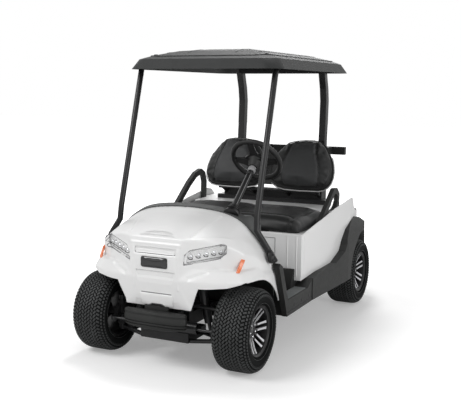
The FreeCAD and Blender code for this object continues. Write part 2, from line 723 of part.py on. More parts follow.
def rear_body():
    outer = prism_x(-pod_w * 1.1, pod_w * 1.1, rear_side()).common(prism_z(0, fin_z * 1.1, rear_plan(0)))
    inner = prism_z(0, fin_z * 1.1, rear_plan(panel_t))
    solid = outer.cut(inner)
    deck = box(-pod_w + panel_t, pod_w - panel_t, seat_rear_y + seat_gap, deck_rear_y, deck_z - panel_t,
            deck_z)
    ledge = box(-pod_w, pod_w, pod_front_y, seat_rear_y + seat_gap + panel_t, seat_low_z - ledge_t,
            seat_low_z - fit_gap)
    ledge = ledge.cut(box(ledge_w - pod_w, pod_w - ledge_w, pod_front_y + ledge_w / 2,
            seat_rear_y - ledge_w / 3,
                          0, roof_top_z))
    reach = seat_pin_r * 2
    for x in (-seat_pin_x, seat_pin_x - seat_pin_l):
        ledge = ledge.cut(box(x - reach, x + seat_pin_l + reach, seat_front_y - seat_pin_r,
                seat_front_y + reach * 2,
                              0, roof_top_z))
    step = box(-pod_w, pod_w, seat_rear_y + seat_gap, seat_rear_y + seat_gap + panel_t,
            seat_low_z - ledge_t, deck_z)
    inside = ledge.fuse(step).fuse(deck).common(prism_z(0, fin_z, rear_plan(panel_t / 2)))
    for side in (-1, 1):
        x0, x1 = sorted((side * (hip_x - hip_w / 2 - panel_t / 2), side * pod_w * 1.1))
        slot = box(x0, x1, pod_front_y + panel_t, deck_side_y, 0, roof_top_z)
        inside = inside.cut(slot.common(prism_z(0, roof_top_z, rear_plan(panel_t))))
    solid = solid.fuse(inside)
    for x in (-rear_strut_x, rear_strut_x):
        half = rear_strut_side / 2 + fit_gap
        y = rear_strut_y(deck_z)
        solid = solid.cut(box(x - half, x + half, y - panel_t, y + rear_strut_w + panel_t,
                deck_z - panel_t * 2, deck_z + panel_t))
    rear = box(-pod_w, pod_w, body_rear_y - panel_t, body_rear_y, flare_arch_r, well_top_z)
    solid = solid.fuse(rear.common(prism_z(0, fin_z, rear_plan(0))))
    for side in (-1, 1):
        solid = solid.cut(rod(V(side * well_x, rear_axle_y, tyre_r), V(side * flare_w, rear_axle_y, tyre_r),
                              flare_arch_r))
    solids = sorted(solid.Solids, key=lambda s: s.Volume)
    return solids[-1]


def rear_flare(side):
    points = [(front_axle_y + y * wheelbase, z * fin_z) for y, z in flare_shares + arch_line_shares]
    x0 = flare_in_x
    solid = prism_x(flare_tail_x, flare_w, points)
    solid = solid.cut(rod(V(0, rear_axle_y, tyre_r), V(flare_w + margin, rear_axle_y, tyre_r), flare_arch_r))
    bend = flare_arch_r * 0.44
    lip = prism_z(0, fin_z, (
        (rocker_out_x, pod_front_y), (flare_w, rear_axle_y - flare_arch_r * 1.2), (flare_w, rear_axle_y),
        (flare_bend_x, rear_axle_y + bend), (flare_end_x, rear_axle_y + bend * 2), (x0, rear_end_y),
        (flare_tail_x, rear_end_y), (flare_tail_x, rear_axle_y + flare_arch_r * 0.8), (x0, rear_axle_y),
        (x0, pod_front_y)))
    solid = solid.common(lip)
    crown = [(x * flare_w, z * fin_z) for x, z in flare_crown_shares]
    solid = solid.common(prism_y(pod_front_y, rear_end_y, crown))
    return solid if side > 0 else flip(solid)


def bag_well():
    half = well_half_w
    outer = box(-half, half, deck_rear_y, body_rear_y - panel_t - fit_gap, well_low_z, well_top_z)
    inner = box(-half + panel_t, half - panel_t, deck_rear_y + panel_t, body_rear_y - panel_t * 2 - fit_gap,
                well_low_z + panel_t, well_top_z + margin)
    foot = box(-rear_rail_x - rail_w / 2, rear_rail_x + rail_w / 2, rear_axle_y, body_rear_y - crossbar,
            kick_top_z, well_low_z)
    wall = box(-half, half, deck_rear_y, deck_rear_y + panel_t, well_low_z, deck_z - panel_t)
    return outer.cut(inner).fuse(wall).fuse(foot).removeSplitter()


def tail_lamp(side):
    x0, x1 = sorted((side * tail_x, side * (tail_x + tail_w)))
    return box(x0, x1, body_rear_y, body_rear_y + tail_d, tail_z, tail_z + tail_h)


# Seats
def seat_bottom():
    solid = box(-seat_half_w, seat_half_w, seat_front_y, seat_rear_y, seat_low_z, seat_top_z)
    edges = [e for e in solid.Edges if e.BoundBox.XLength > margin and e.BoundBox.ZMax > seat_top_z - margin]
    edges += [e for e in solid.Edges if e.Length < seat_top_z - seat_low_z + margin]
    low = [e for e in solid.Edges if e.BoundBox.ZMax < seat_low_z + margin]
    edges += [e for e in low if e.BoundBox.YMax < seat_front_y + margin]
    solid = solid.makeFillet(seat_round, edges)
    y = seat_front_y + seat_pin_r
    for x in (-seat_pin_x, seat_pin_x - seat_pin_l):
        leaf = box(x, x + seat_pin_l, y, y + seat_leaf_l, seat_low_z, seat_low_z + seat_pin_r)
        solid = solid.fuse(leaf).fuse(rod(V(x, y, seat_low_z), V(x + seat_pin_l, y, seat_low_z), seat_pin_r))
    return solid.removeSplitter()


def seat_back(side):
    points = [(side * (back_x + x * back_w / 2), z * back_h) for x, z in back_shares]
    solid = prism_y(-back_t, 0, points)
    edges = [e for e in solid.Edges if abs(e.BoundBox.YMax + back_t) < margin
             and abs(e.BoundBox.YMin + back_t) < margin]
    solid = solid.makeFillet(seat_round, edges)
    solid.rotate(V(0, 0, 0), V(1, 0, 0), -back_lean)
    solid.translate(V(0, back_low_y + back_t, back_low_z))
    return solid


def lean_point(x, out, up):
    lean = math.radians(back_lean)
    y = back_low_y + back_t + out * math.cos(lean) + up * math.sin(lean)
    return V(x, y, back_low_z - out * math.sin(lean) + up * math.cos(lean))


def seat_back_frame():
    r = frame_tube_r
    out = r + fit_gap
    solid = None
    for x in (-back_x - back_bar_in, -back_x + back_bar_in, back_x - back_bar_in, back_x + back_bar_in):
        leg = tube_path([V(x, base_y + base_d / 2, deck_z + base_h / 2), lean_point(x, out, 0),
                         lean_point(x, out, back_h * 0.7)], r)
        solid = solid.fuse(leg) if solid else leg
    for up in (0, back_h * 0.7):
        y, z = lean_point(0, out, up).y, lean_point(0, out, up).z
        solid = solid.fuse(rod(V(-back_bar_half, y, z), V(back_bar_half, y, z), r * 0.8))
    y, z = lean_point(0, out, back_h * 0.7).y, lean_point(0, out, back_h * 0.7).z
    for side in (-1, 1):
        x = side * rear_strut_x
        solid = solid.fuse(rod(V(x, y, z), V(x, rear_strut_y(z) - fit_gap, z), r * 0.9))
    low = box(-base_half, base_half, base_y, base_y + base_d, deck_z, deck_z + base_low_h)
    half = base_half - base_step
    high = box(-half, half, base_y + base_d / 5, base_y + base_d, deck_z, deck_z + base_h)
    return solid.fuse(low).fuse(high)


def hip_restraint(side):
    table = hip_left_shares if side > 0 else hip_right_shares
    points = [V(hip_x - hip_w / 2, front_axle_y + y * wheelbase, z * fin_z) for y, z in table]
    core = Part.makePolygon(points + [points[0]])
    outer = Part.Face(core.makeOffset2D(hip_band / 2, 0))
    hole = Part.Face(core.makeOffset2D(-hip_band / 2, 0))
    solid = outer.cut(hole).extrude(V(hip_w, 0, 0))
    solid = solid.common(prism_z(0, roof_top_z, rear_plan(panel_t + fit_gap)))
    return solid if side > 0 else flip(solid)


# Canopy
def rear_strut_y(z):
    share = (strut_high_z - z) / (strut_high_z - kick_top_z)
    for (s0, b0), (s1, b1) in zip(strut_bow_shares, strut_bow_shares[1:]):
        if share <= s1:
            return rear_strut_top_y + strut_sweep * (b0 + (b1 - b0) * (share - s0) / (s1 - s0))
    return rear_strut_top_y + strut_sweep


def rear_roof_frame():
    levels = [strut_high_z - s * (strut_high_z - kick_top_z) for s, bow in strut_bow_shares]
    outline = [(rear_strut_y(z), z) for z in levels] + [(rear_strut_y(z) + rear_strut_w,
            z) for z in levels[::-1]]
    solid = None
    for side in (-1, 1):
        x0, x1 = sorted((side * (rear_strut_x - rear_strut_side / 2),
                         side * (rear_strut_x + rear_strut_side / 2)))
        leg = prism_x(x0, x1, outline)
        solid = solid.fuse(leg) if solid else leg
    y = rear_strut_y(strut_high_z)
    solid = solid.fuse(box(-rear_strut_x, rear_strut_x, y, y + rear_strut_w, roof_low_z, strut_high_z))
    return solid.removeSplitter()


def front_strut(side):
    points = [V(front_strut_x, front_strut_top_y, roof_low_z + roof_t), V(front_strut_x, kink_high_y,
            kink_z + kink_drop),
              V(kink_x, kink_y, kink_z), V(strut_foot_x - strut_base_step, kink_low_y, kink_low_z),
              V(strut_foot_x, strut_foot_y, strut_foot_z)]
    solid = tube_path(points, strut_r)
    return solid if side > 0 else flip(solid)


def roof_ring(inset, z):
    half = roof_half_w - inset
    y0, y1 = roof_front_y + inset, roof_rear_y - inset
    solid = box(-half, half, y0, y1, z, z + margin)
    edges = [e for e in solid.Edges if e.BoundBox.ZLength > margin / 2]
    solid = solid.makeFillet(roof_corner_r - inset * 0.2, edges)
    return sorted(solid.Faces, key=lambda f: f.CenterOfMass.z)[0].OuterWire


def roof_solid(inset, drop):
    low = Part.makeLoft([roof_ring(inset, roof_low_z), roof_ring(roof_inset + inset, roof_mid_z - drop)],
            True, True)
    rings = [roof_ring(roof_inset + inset + out * dome_inset,
            roof_mid_z + up * (roof_top_z - roof_mid_z) - drop)
             for out, up in dome_shares]
    dome = Part.makeLoft(rings, True, True)
    return low.fuse(dome)


def roof():
    solid = roof_solid(0, 0).cut(roof_solid(roof_t, roof_t))
    for side in (-1, 1):
        x0, x1 = sorted((side * (rear_strut_x - rear_strut_t), side * (rear_strut_x + rear_strut_t)))
        pad = box(x0, x1, rear_strut_top_y - rear_strut_t, rear_strut_top_y + rear_strut_w,
                  roof_low_z + rear_strut_t + fit_gap, roof_top_z - roof_t)
        solid = solid.fuse(pad.common(roof_solid(roof_t / 2, roof_t / 2)))
        x0, x1 = sorted((side * (front_strut_x - strut_r * 2), side * (front_strut_x + strut_r * 1.6)))
        pad = box(x0, x1, front_strut_top_y - strut_r * 2, front_strut_top_y + strut_r * 2,
                roof_low_z + roof_t + strut_r + fit_gap,
                  roof_top_z - roof_t)
        solid = solid.fuse(pad.common(roof_solid(roof_t / 2, roof_t / 2)))
    return solid.removeSplitter()


def bag_rack():
    z0, z1 = rack_z, rack_z + rack_h
    y = rack_y
    solid = box(-rack_half_w, rack_half_w, y, y + rack_t, z0, z1)
    for side in (-1, 1):
        x0, x1 = sorted((side * (rear_strut_x - rack_t / 2), side * (rear_strut_x + rack_t / 2)))
        solid = solid.fuse(box(x0, x1, rear_strut_y(rack_z) + rear_strut_w + fit_gap, y, z0, z1))
    return solid.removeSplitter()


# Controls
def tilted(shape):
    shape.rotate(V(0, 0, 0), V(1, 0, 0), -(90 - steer_tilt))
    shape.translate(V(steer_x, steer_y, steer_z))
    return shape


def steering_wheel():
    ring = Part.makeTorus(steer_r, steer_grip_r, V(0, 0, 0), V(0, 0, 1))
    hub = Part.makeCylinder(steer_hub_r, steer_grip_r * 2, V(0, 0, -steer_grip_r * 2.4))
    solid = ring.fuse(hub)
    for angle in spoke_angles:
        spoke = box(steer_hub_r - steer_grip_r, steer_r, -steer_grip_r, steer_grip_r, -steer_grip_r * 1.2,
                steer_grip_r * 0.2)
        spoke.rotate(V(0, 0, 0), V(0, 0, 1), angle)
        solid = solid.fuse(spoke)
    return tilted(solid)


def column_core(grow):
    top = -steer_grip_r * 2.4 - fit_gap
    solid = Part.makeCylinder(column_r * 1.5 + grow, column_len / 4, V(0, 0, top - column_len / 4))
    return solid.fuse(Part.makeCylinder(column_r + grow, column_len + grow, V(0, 0, top - column_len - grow)))


def steering_column():
    return tilted(column_core(0))


def pedals():
    solid = None
    for x, w in ((steer_x - pedal_gap, pedal_w * 1.6), (steer_x + pedal_gap * 0.6, pedal_w)):
        pad = box(x - w / 2, x + w / 2, pedal_foot_y + floor_t * 1.6, pedal_foot_y + floor_t * 2.1,
                  floor_z + floor_t * 1.5, floor_z + pedal_h)
        stem = box(x - floor_t / 2, x + floor_t / 2, pedal_foot_y, pedal_foot_y + floor_t * 1.8,
                   floor_z + fit_gap, floor_z + floor_t * 2)
        piece = pad.fuse(stem)
        solid = solid.fuse(piece) if solid else piece
    return solid.fuse(box(steer_x - pedal_gap, steer_x + pedal_gap * 0.6, pedal_foot_y,
            pedal_foot_y + floor_t,
                          floor_z + fit_gap, floor_z + floor_t))


parts = {
    "frame_rails": frame_rails(), "floor_pan": floor_pan(), "front_cowl": front_cowl(),
            "dash_cowl": dash_cowl(),
    "front_bumper": front_bumper(), "rear_body": rear_body(), "bag_well": bag_well(), "bag_rack": bag_rack(),
    "roof": roof(), "rear_roof_frame": rear_roof_frame(), "seat_bottom": seat_bottom(),
    "seat_back_frame": seat_back_frame(), "battery_pack": battery_pack(), "rear_axle": rear_axle(),
    "steering_rack": steering_rack(), "steering_wheel": steering_wheel(),
            "steering_column": steering_column(),
    "pedals": pedals()}
for name, side in (("left", 1), ("right", -1)):
    parts["rocker_" + name] = rocker(side)
    parts["headlamp_" + name] = headlamp(side)
    parts["rear_flare_" + name] = rear_flare(side)
    parts["tail_lamp_" + name] = tail_lamp(side)
    parts["seat_back_" + name] = seat_back(side)
    parts["hip_restraint_" + name] = hip_restraint(side)
    parts["front_strut_" + name] = front_strut(side)
    parts["front_suspension_" + name] = front_suspension(side)
    parts["rear_suspension_" + name] = rear_suspension(side)
    parts["knuckle_" + name] = knuckle(side)
    parts["tie_rod_" + name] = tie_rod(side)
    parts["front_tyre_" + name] = tyre(side * front_tread / 2, front_axle_y)
    parts["rear_tyre_" + name] = tyre(side * rear_tread / 2, rear_axle_y)
    parts["front_rim_" + name] = rim(side * front_tread / 2, front_axle_y, side)
    parts["rear_rim_" + name] = rim(side * rear_tread / 2, rear_axle_y, side)
for name, shape in parts.items():
    save(name, shape)
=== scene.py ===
import bpy
from math import cos, exp, hypot, pi, radians, sin
import random
import numpy as np
from mathutils import Matrix, Vector
from mathutils.bvhtree import BVHTree


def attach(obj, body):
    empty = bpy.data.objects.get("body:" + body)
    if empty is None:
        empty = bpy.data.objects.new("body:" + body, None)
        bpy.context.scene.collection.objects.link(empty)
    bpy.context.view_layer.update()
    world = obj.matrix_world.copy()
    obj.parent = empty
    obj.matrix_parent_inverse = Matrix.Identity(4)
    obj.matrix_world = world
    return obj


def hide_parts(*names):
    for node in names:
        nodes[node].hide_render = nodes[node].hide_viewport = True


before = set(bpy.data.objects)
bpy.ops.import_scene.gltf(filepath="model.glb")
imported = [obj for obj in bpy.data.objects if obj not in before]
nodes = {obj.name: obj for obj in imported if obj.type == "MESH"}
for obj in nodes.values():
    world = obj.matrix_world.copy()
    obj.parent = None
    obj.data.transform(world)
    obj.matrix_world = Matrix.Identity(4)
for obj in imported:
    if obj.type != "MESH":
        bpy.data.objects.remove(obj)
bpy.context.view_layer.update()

random.seed(7)
scene = bpy.context.scene
SIDES = (("left", 1), ("right", -1))
FRONT_Y, REAR_Y, WHEEL_Z = -0.925, 0.739, 0.229  # the axles and the wheels' centres, in metres
CAMERA_PLACE = (2.1865, -4.7825, 1.5009)
CAMERA_TURN = (25.6, 7.9, 0.5)  # azimuth, height and roll in degrees
BLOCK_SIDES = [(4, 5, 6, 7), (0, 1, 5, 4), (1, 2, 6, 5), (2, 3, 7, 6), (3, 0, 4, 7)]
OUTER = -0.15  # faces of the cowl that look outward by more than this are its outside
BACK_Y, BACK_Z = 0.393, 0.826  # foot of the seat backs' face
LEAN_SIN, LEAN_COS = 0.3746, 0.9272  # of the seat backs' lean, 22 degrees
trees = {}


def turns(count):
    """Even angles of a full turn."""
    return [2 * pi * k / count for k in range(count)]


def circle(r, z, count):
    """Even points about Z."""
    return [(r * cos(q), r * sin(q), z) for q in turns(count)]


def linked(name, data):
    obj = bpy.data.objects.new(name, data)
    scene.collection.objects.link(obj)
    return obj


def add_node(tree, kind, values=(), feeds=(), **settings):
    """A shader node with its input values, incoming links and settings."""
    made = tree.nodes.new("ShaderNode" + kind)
    for key, value in settings.items():
        setattr(made, key, value)
    for key, value in dict(values).items():
        made.inputs[key].default_value = value
    for key, source in dict(feeds).items():
        tree.links.new(source, made.inputs[key])
    return made


# Camera
def place_camera():
    az, el, roll = (radians(a) for a in CAMERA_TURN)
    back = Vector((sin(az) * cos(el), -cos(az) * cos(el), sin(el)))
    right = Vector((cos(az), sin(az), 0))
    up = back.cross(right)
    r = right * cos(roll) + up * sin(roll)
    u = up * cos(roll) - right * sin(roll)
    data = bpy.data.cameras.new("camera")
    data.sensor_width, data.lens, data.shift_x = 36, 63.45, 0.003
    cam = linked("camera", data)
    cam.matrix_world = Matrix.Translation(CAMERA_PLACE) @ Matrix((r, u, back)).transposed().to_4x4()
    scene.camera = cam


# Light, floor and background
def lamp(name, place, aim, size, power):
    data = bpy.data.lights.new(name, "AREA")
    data.shape, data.size, data.energy = "DISK", size, power
    obj = linked(name, data)
    obj.location = place
    obj.rotation_euler = (Vector(aim) - Vector(place)).to_track_quat("-Z", "Y").to_euler()


def seen_white(tree):
    """1 for what is seen, directly, in gloss or through glass, and 0 for the light on the cart."""
    path = add_node(tree, "LightPath").outputs
    direct = add_node(tree, "Math", feeds={0: path["Is Camera Ray"], 1: path["Is Glossy Ray"]}, operation="MAXIMUM")
    return add_node(tree, "Math", feeds={0: direct.outputs[0], 1: path["Is Transmission Ray"]},
                    operation="MAXIMUM").outputs[0]


def studio():
    world = bpy.data.worlds.new("studio")
    scene.world = world
    world.use_nodes = True
    tree = world.node_tree
    back = tree.nodes["Background"]
    back.inputs["Color"].default_value = (1, 1, 1, 1)
    level = add_node(tree, "MapRange", {"To Min": 0.34, "To Max": 1.0}, {"Value": seen_white(tree)})
    tree.links.new(level.outputs[0], back.inputs["Strength"])
    lamp("key", (-2.6, -4.2, 4.6), (0, -0.1, 0.6), 2.8, 150)
    lamp("fill", (5.0, -2.4, 2.2), (0, 0.1, 0.5), 3.0, 92)
    lamp("top", (-0.4, 1.1, 5.0), (0, 0, 0.7), 1.3, 100)
    lamp("rear", (-1.5, 5.5, 2.8), (0, 0.4, 0.8), 3.0, 70)
    white_floor()


def white_floor():
    """A floor that shows the shadow and turns plain white away from the cart."""
    mesh = bpy.data.meshes.new("floor")
    far = 30.0
    mesh.from_pydata([(-far, -far, 0), (far, -far, 0), (far, far, 0), (-far, far, 0)], [], [(0, 1, 2, 3)])
    floor = linked("floor", mesh)
    mat = bpy.data.materials.new("floor_white")
    mat.use_nodes = True
    tree = mat.node_tree
    bsdf = tree.nodes["Principled BSDF"]
    bsdf.inputs["Base Color"].default_value = (0.86, 0.86, 0.86, 1)
    bsdf.inputs["Roughness"].default_value = 0.9
    bsdf.inputs["Specular IOR Level"].default_value = 0.0
    place = add_node(tree, "TexCoord").outputs["Object"]
    reach = add_node(tree, "VectorMath", feeds={0: place}, operation="LENGTH")
    near_m, far_m, near_glow = 1.35, 2.7, 0.27
    ease = add_node(tree, "MapRange", {"From Min": near_m, "From Max": far_m, "To Min": near_glow, "To Max": 1.0},
                    {"Value": reach.outputs["Value"]})
    seen = add_node(tree, "LightPath").outputs["Is Camera Ray"]
    power = add_node(tree, "Math", feeds={0: seen, 1: ease.outputs[0]}, operation="MULTIPLY")
    glow = add_node(tree, "Emission", feeds={"Strength": power.outputs[0]})
    both = add_node(tree, "AddShader", feeds={0: bsdf.outputs[0], 1: glow.outputs[0]})
    tree.links.new(both.outputs[0], tree.nodes["Material Output"].inputs["Surface"])
    mesh.materials.append(mat)


# Materials
def material(name, color, rough, metal=0.0, coat=0.0, spec=0.5, vary=0.08, patch=6.0, grain=300.0, bump=0.05,
             depth=0.001, cells=False, stretch=(1, 1, 1), rough_vary=0.06, sheen=0.0):
    """Uneven tone and gloss, and a fine relief of noise or cells."""
    mat = bpy.data.materials.new(name)
    mat.use_nodes = True
    tree = mat.node_tree
    place = add_node(tree, "TexCoord").outputs["Object"]
    place = add_node(tree, "Mapping", {"Scale": stretch}, {"Vector": place}).outputs[0]

    def noise(size, detail):
        return add_node(tree, "TexNoise", {"Scale": size, "Detail": detail}, {"Vector": place}).outputs["Fac"]

    tone = add_node(tree, "ValToRGB", feeds={0: noise(patch, 4.0)})
    for end, at, k in zip(tone.color_ramp.elements, (0.3, 0.7), (1 - vary, 1 + vary)):
        end.position = at
        end.color = [min(1, c * k) for c in color] + [1]
    limits = {"To Min": max(0.02, rough - rough_vary), "To Max": min(1, rough + rough_vary)}
    gloss = add_node(tree, "MapRange", limits, {"Value": noise(patch * 5, 3.0)})
    if cells:
        fine = add_node(tree, "TexVoronoi", {"Scale": grain}, {"Vector": place}, feature="DISTANCE_TO_EDGE")
        fine = fine.outputs["Distance"]
    else:
        fine = noise(grain, 2.0)
    relief = add_node(tree, "Bump", {"Strength": bump, "Distance": depth}, {"Height": fine})
    bsdf = tree.nodes["Principled BSDF"].inputs
    for key, value in {"Metallic": metal, "Coat Weight": coat, "Coat Roughness": 0.15, "Specular IOR Level": spec,
                       "Sheen Weight": sheen}.items():
        bsdf[key].default_value = value
    for key, node in {"Base Color": tone, "Roughness": gloss, "Normal": relief}.items():
        tree.links.new(node.outputs[0], bsdf[key])
    return mat


def clear(name, color, rough):
    """A clear lens, nearly all seen through."""
    mat = material(name, color, rough, vary=0.02, bump=0.02, grain=60)
    mat.node_tree.nodes["Principled BSDF"].inputs["Alpha"].default_value = 0.07
    return mat


M = {
    "white": material("white_gloss", (0.85, 0.85, 0.848), 0.34, coat=0.25, vary=0.008, patch=3.0, grain=22,
        bump=0.012, depth=0.0004, rough_vary=0.02),
    "trim": material("black_trim", (0.017, 0.0175, 0.017), 0.55, spec=0.3, vary=0.2, grain=900, bump=0.35,
        depth=0.0004, cells=True),
    # Dash band grey, lighter than the other trims: partly its own grey, partly a painted highlight for its up-facing
    # top
    "band": material("band_trim", (0.075, 0.078, 0.077), 0.5, spec=0.35, vary=0.12, grain=900, bump=0.3, depth=0.0004,
        cells=True),
    "roof": material("roof_plastic", (0.016, 0.017, 0.017), 0.55, spec=0.28, vary=0.12, grain=700, bump=0.25,
        depth=0.0004),
    "tube": material("black_paint", (0.007, 0.007, 0.0075), 0.38, spec=0.32, coat=0.08, vary=0.15, grain=500,
        bump=0.08, depth=0.0003),
    "rail": material("rail_coat", (0.014, 0.014, 0.015), 0.5, spec=0.35, vary=0.25, grain=240, bump=0.2,
        depth=0.0004),
    "vinyl": material("vinyl_black", (0.0095, 0.0098, 0.0098), 0.46, spec=0.32, vary=0.15, grain=420, bump=0.35,
        depth=0.0005, cells=True, sheen=0.04),
    "panel": material("vinyl_seat", (0.0095, 0.0098, 0.0099), 0.55, spec=0.2, vary=0.12, grain=700, bump=0.4,
        depth=0.0005, cells=True),
    "inset": material("vinyl_charcoal", (0.044, 0.045, 0.046), 0.55, spec=0.3, vary=0.12, grain=700, bump=0.4,
        depth=0.0005, cells=True, sheen=0.06),
    "battery": material("battery_case", (0.03, 0.031, 0.04), 0.5, vary=0.2, grain=350, bump=0.2),
    "cast": material("cast_metal", (0.03, 0.03, 0.031), 0.62, metal=0.3, vary=0.3, grain=260, bump=0.5),
    "steel": material("bare_steel", (0.3, 0.3, 0.31), 0.38, metal=1.0, vary=0.15, grain=300, bump=0.1,
        stretch=(1, 4, 4)),
    "arm": material("arm_paint", (0.012, 0.012, 0.013), 0.42, spec=0.4, coat=0.15, vary=0.2, grain=400, bump=0.2),
    # Tyre rubber made lighter, a painted highlight on the tread blocks
    "rubber": material("tyre_rubber", (0.036, 0.038, 0.038), 0.62, spec=0.4, vary=0.35, patch=14, grain=420,
        bump=0.45, rough_vary=0.1),
    # A darker copy of the tyre rubber, painted shade for the grooves and sidewalls
    "groove": material("tyre_groove", (0.006, 0.0065, 0.0065), 0.9, spec=0.12, vary=0.2, patch=14, grain=420,
        bump=0.4),
    "alloy": material("black_alloy", (0.006, 0.006, 0.007), 0.14, spec=0.5, coat=0.6, vary=0.1, grain=200, bump=0.03),
    "cut": material("machined_alloy", (0.6, 0.6, 0.62), 0.26, metal=1.0, vary=0.06, grain=500, bump=0.12,
        depth=0.0002, stretch=(1, 1, 6)),
    "grip": material("grip_rubber", (0.01, 0.01, 0.01), 0.5, spec=0.35, vary=0.15, grain=520, bump=0.4, cells=True,
        depth=0.0005),
    "chrome": material("lamp_mirror", (0.83, 0.84, 0.86), 0.12, metal=1.0, vary=0.03, grain=80, bump=0.04),
    "bowl": material("lamp_bowl", (0.9, 0.9, 0.9), 0.35, vary=0.03, grain=90, bump=0.05),
    # Near-black for the arcs of painted shade under the lamp reflectors
    "dark": material("lamp_arc_painted_shade", (0.006, 0.006, 0.006), 0.6, vary=0.2, grain=300, bump=0.1),
    # Grey for lines: painted shade low in the lamp bowls, painted highlight strips on the steering wheel and column,
    # and the lamp seals, column collar and body seams
    "shadow": material("grey_seam_painted_shade_highlight", (0.26, 0.26, 0.265), 0.5, vary=0.1, grain=300, bump=0.1),
    # Grey painted shade for the edges of the nose's slot, scoop and plates
    "crease": material("grey_crease", (0.23, 0.23, 0.235), 0.5, vary=0.06, grain=300, bump=0.05),
    "amber": material("amber_lens", (0.8, 0.19, 0.06), 0.25, coat=0.5, vary=0.06, grain=260, bump=0.3, cells=True),
    "red": material("red_lens", (0.42, 0.012, 0.012), 0.18, coat=0.8, vary=0.1, grain=220, bump=0.4, cells=True),
    "mat": material("ribbed_mat", (0.19, 0.2, 0.2), 0.7, spec=0.25, vary=0.15, grain=500, bump=0.4, cells=True),
    # Light grey for a painted highlight along the seat backs' shell edge
    "edge": material("shell_edge_painted_highlight", (0.55, 0.55, 0.55), 0.3, vary=0.05, grain=300, bump=0.05),
}
M["glass"] = clear("lamp_glass", (0.97, 0.98, 1.0), 0.02)


# Mesh tools
class Shape:
    """Points, faces and material slots of a piece."""

    def __init__(self):
        self.v, self.f, self.m = [], [], []

    def add(self, verts, faces, slot=0, matrix=None):
        n = len(self.v)
        self.v += [tuple(matrix @ Vector(p)) if matrix else tuple(p) for p in verts]
        self.f += [tuple(i + n for i in f) for f in faces]
        self.m += [slot] * len(faces)
        return self

    def box(self, lo, hi, slot=0):
        (a, b, c), (d, e, f) = lo, hi
        verts = [(a, b, c), (d, b, c), (d, e, c), (a, e, c), (a, b, f), (d, b, f), (d, e, f), (a, e, f)]
        return self.add(verts, [(0, 3, 2, 1), *BLOCK_SIDES], slot)

    def rings(self, rings, closed=False, caps=True, slot=0, matrix=None):
        """A skin over rings of equal counts."""
        n = len(rings[0])
        verts = [p for r in rings for p in r]
        faces = []
        count = len(rings) if closed else len(rings) - 1
        for i in range(count):
            a, b = i * n, (i + 1) % len(rings) * n
            faces += [(a + j, a + (j + 1) % n, b + (j + 1) % n, b + j) for j in range(n)]
        if caps and not closed:
            faces += [tuple(range(n))[::-1], tuple((len(rings) - 1) * n + j for j in range(n))]
        return self.add(verts, faces, slot, matrix)

    def tube(self, points, r, sides=12, closed=False, slot=0, flat=1.0):
        """A tube with one radius, or one for each point."""
        points = [Vector(p) for p in points]
        count = len(points)
        rings, side = [], None
        for i, p in enumerate(points):
            a = points[(i - 1) % count] if closed or i else p
            b = points[(i + 1) % count] if closed or i < count - 1 else p
            t = (b - a).normalized()
            if side is None:
                side = t.orthogonal().normalized()
            side = (side - t * side.dot(t)).normalized()
            other = t.cross(side)
            size = r[i] if isinstance(r, (list, tuple)) else r
            rings.append([p + (side * cos(q) * flat + other * sin(q)) * size for q in turns(sides)])
        return self.rings(rings, closed, True, slot)

    def lathe(self, profile, sides=48, closed=False, slot=0, matrix=None):
        """A profile of (x, radius) turned about X."""
        rings = [[(x, r * cos(q), r * sin(q)) for q in turns(sides)] for x, r in profile]
        return self.rings(rings, closed, True, slot, matrix)

    def upright(self, profile, sides, slot=0):
        """A profile of (z, radius) turned about Z."""
        return self.rings([circle(r, z, sides) for z, r in profile], slot=slot)

    def made(self, name, body, *mats, angle=35, bevel=0, place=None, turn=None):
        mesh = bpy.data.meshes.new(name)
        mesh.from_pydata([turn @ Vector(p) for p in self.v] if turn else self.v, [], self.f)
        painted(mesh, self.m, *mats)
        mesh.validate()
        obj = linked(name, mesh)
        if place:
            obj.matrix_world = place
        if bevel:
            beveled(obj, bevel, 2, angle)
        mesh.set_sharp_from_angle(angle=radians(angle))
        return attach(obj, body)


def painted(mesh, slots, *mats):
    mesh.materials.clear()
    for mat in mats:
        mesh.materials.append(M[mat])
    mesh.polygons.foreach_set("material_index", slots)
    mesh.polygons.foreach_set("use_smooth", [True] * len(mesh.polygons))


def beveled(obj, width, segments, angle):
    mod = obj.modifiers.new("edges", "BEVEL")
    mod.width, mod.segments, mod.limit_method, mod.angle_limit = width, segments, "ANGLE", radians(angle)


def across(axis, a, b, along):
    """A point from its values across an axis and along it."""
    return Vector({"X": (along, a, b), "Y": (a, along, b), "Z": (a, b, along)}[axis])


def surface(node, axis, a, b, start):
    """Where a solid is first met from start along the axis, and the normal there."""
    if node not in trees:
        mesh = nodes[node].data
        trees[node] = BVHTree.FromPolygons([v.co for v in mesh.vertices], [p.vertices for p in mesh.polygons])
    return trees[node].ray_cast(across(axis, a, b, start), across(axis, 0, 0, 1 if start < 0 else -1))[:2]


def outward(side, x, y, z):
    """A place on a side of the cart, its X axis pointing away."""
    place = Matrix.Translation((side * x, y, z))
    return place @ Matrix.Rotation(pi, 4, "Z") if side < 0 else place


def aimed(at, aim):
    return Matrix.Translation(at) @ Vector(aim).to_track_quat("X", "Z").to_matrix().to_4x4()


def line_on(shape, node, axis, start, points, r, sink):
    """A bead along a solid, sunk in by a share of its thickness."""
    path = []
    for p in divided(points, 0.02):
        at, normal = surface(node, axis, p[0], p[1], start)
        if at:
            out = 1 if normal.dot(across(axis, 0, 0, start)) > 0 else -1
            path.append(at + normal * out * r * (1 - 2 * sink))
    if len(path) > 1:
        shape.tube(path, r, 8)


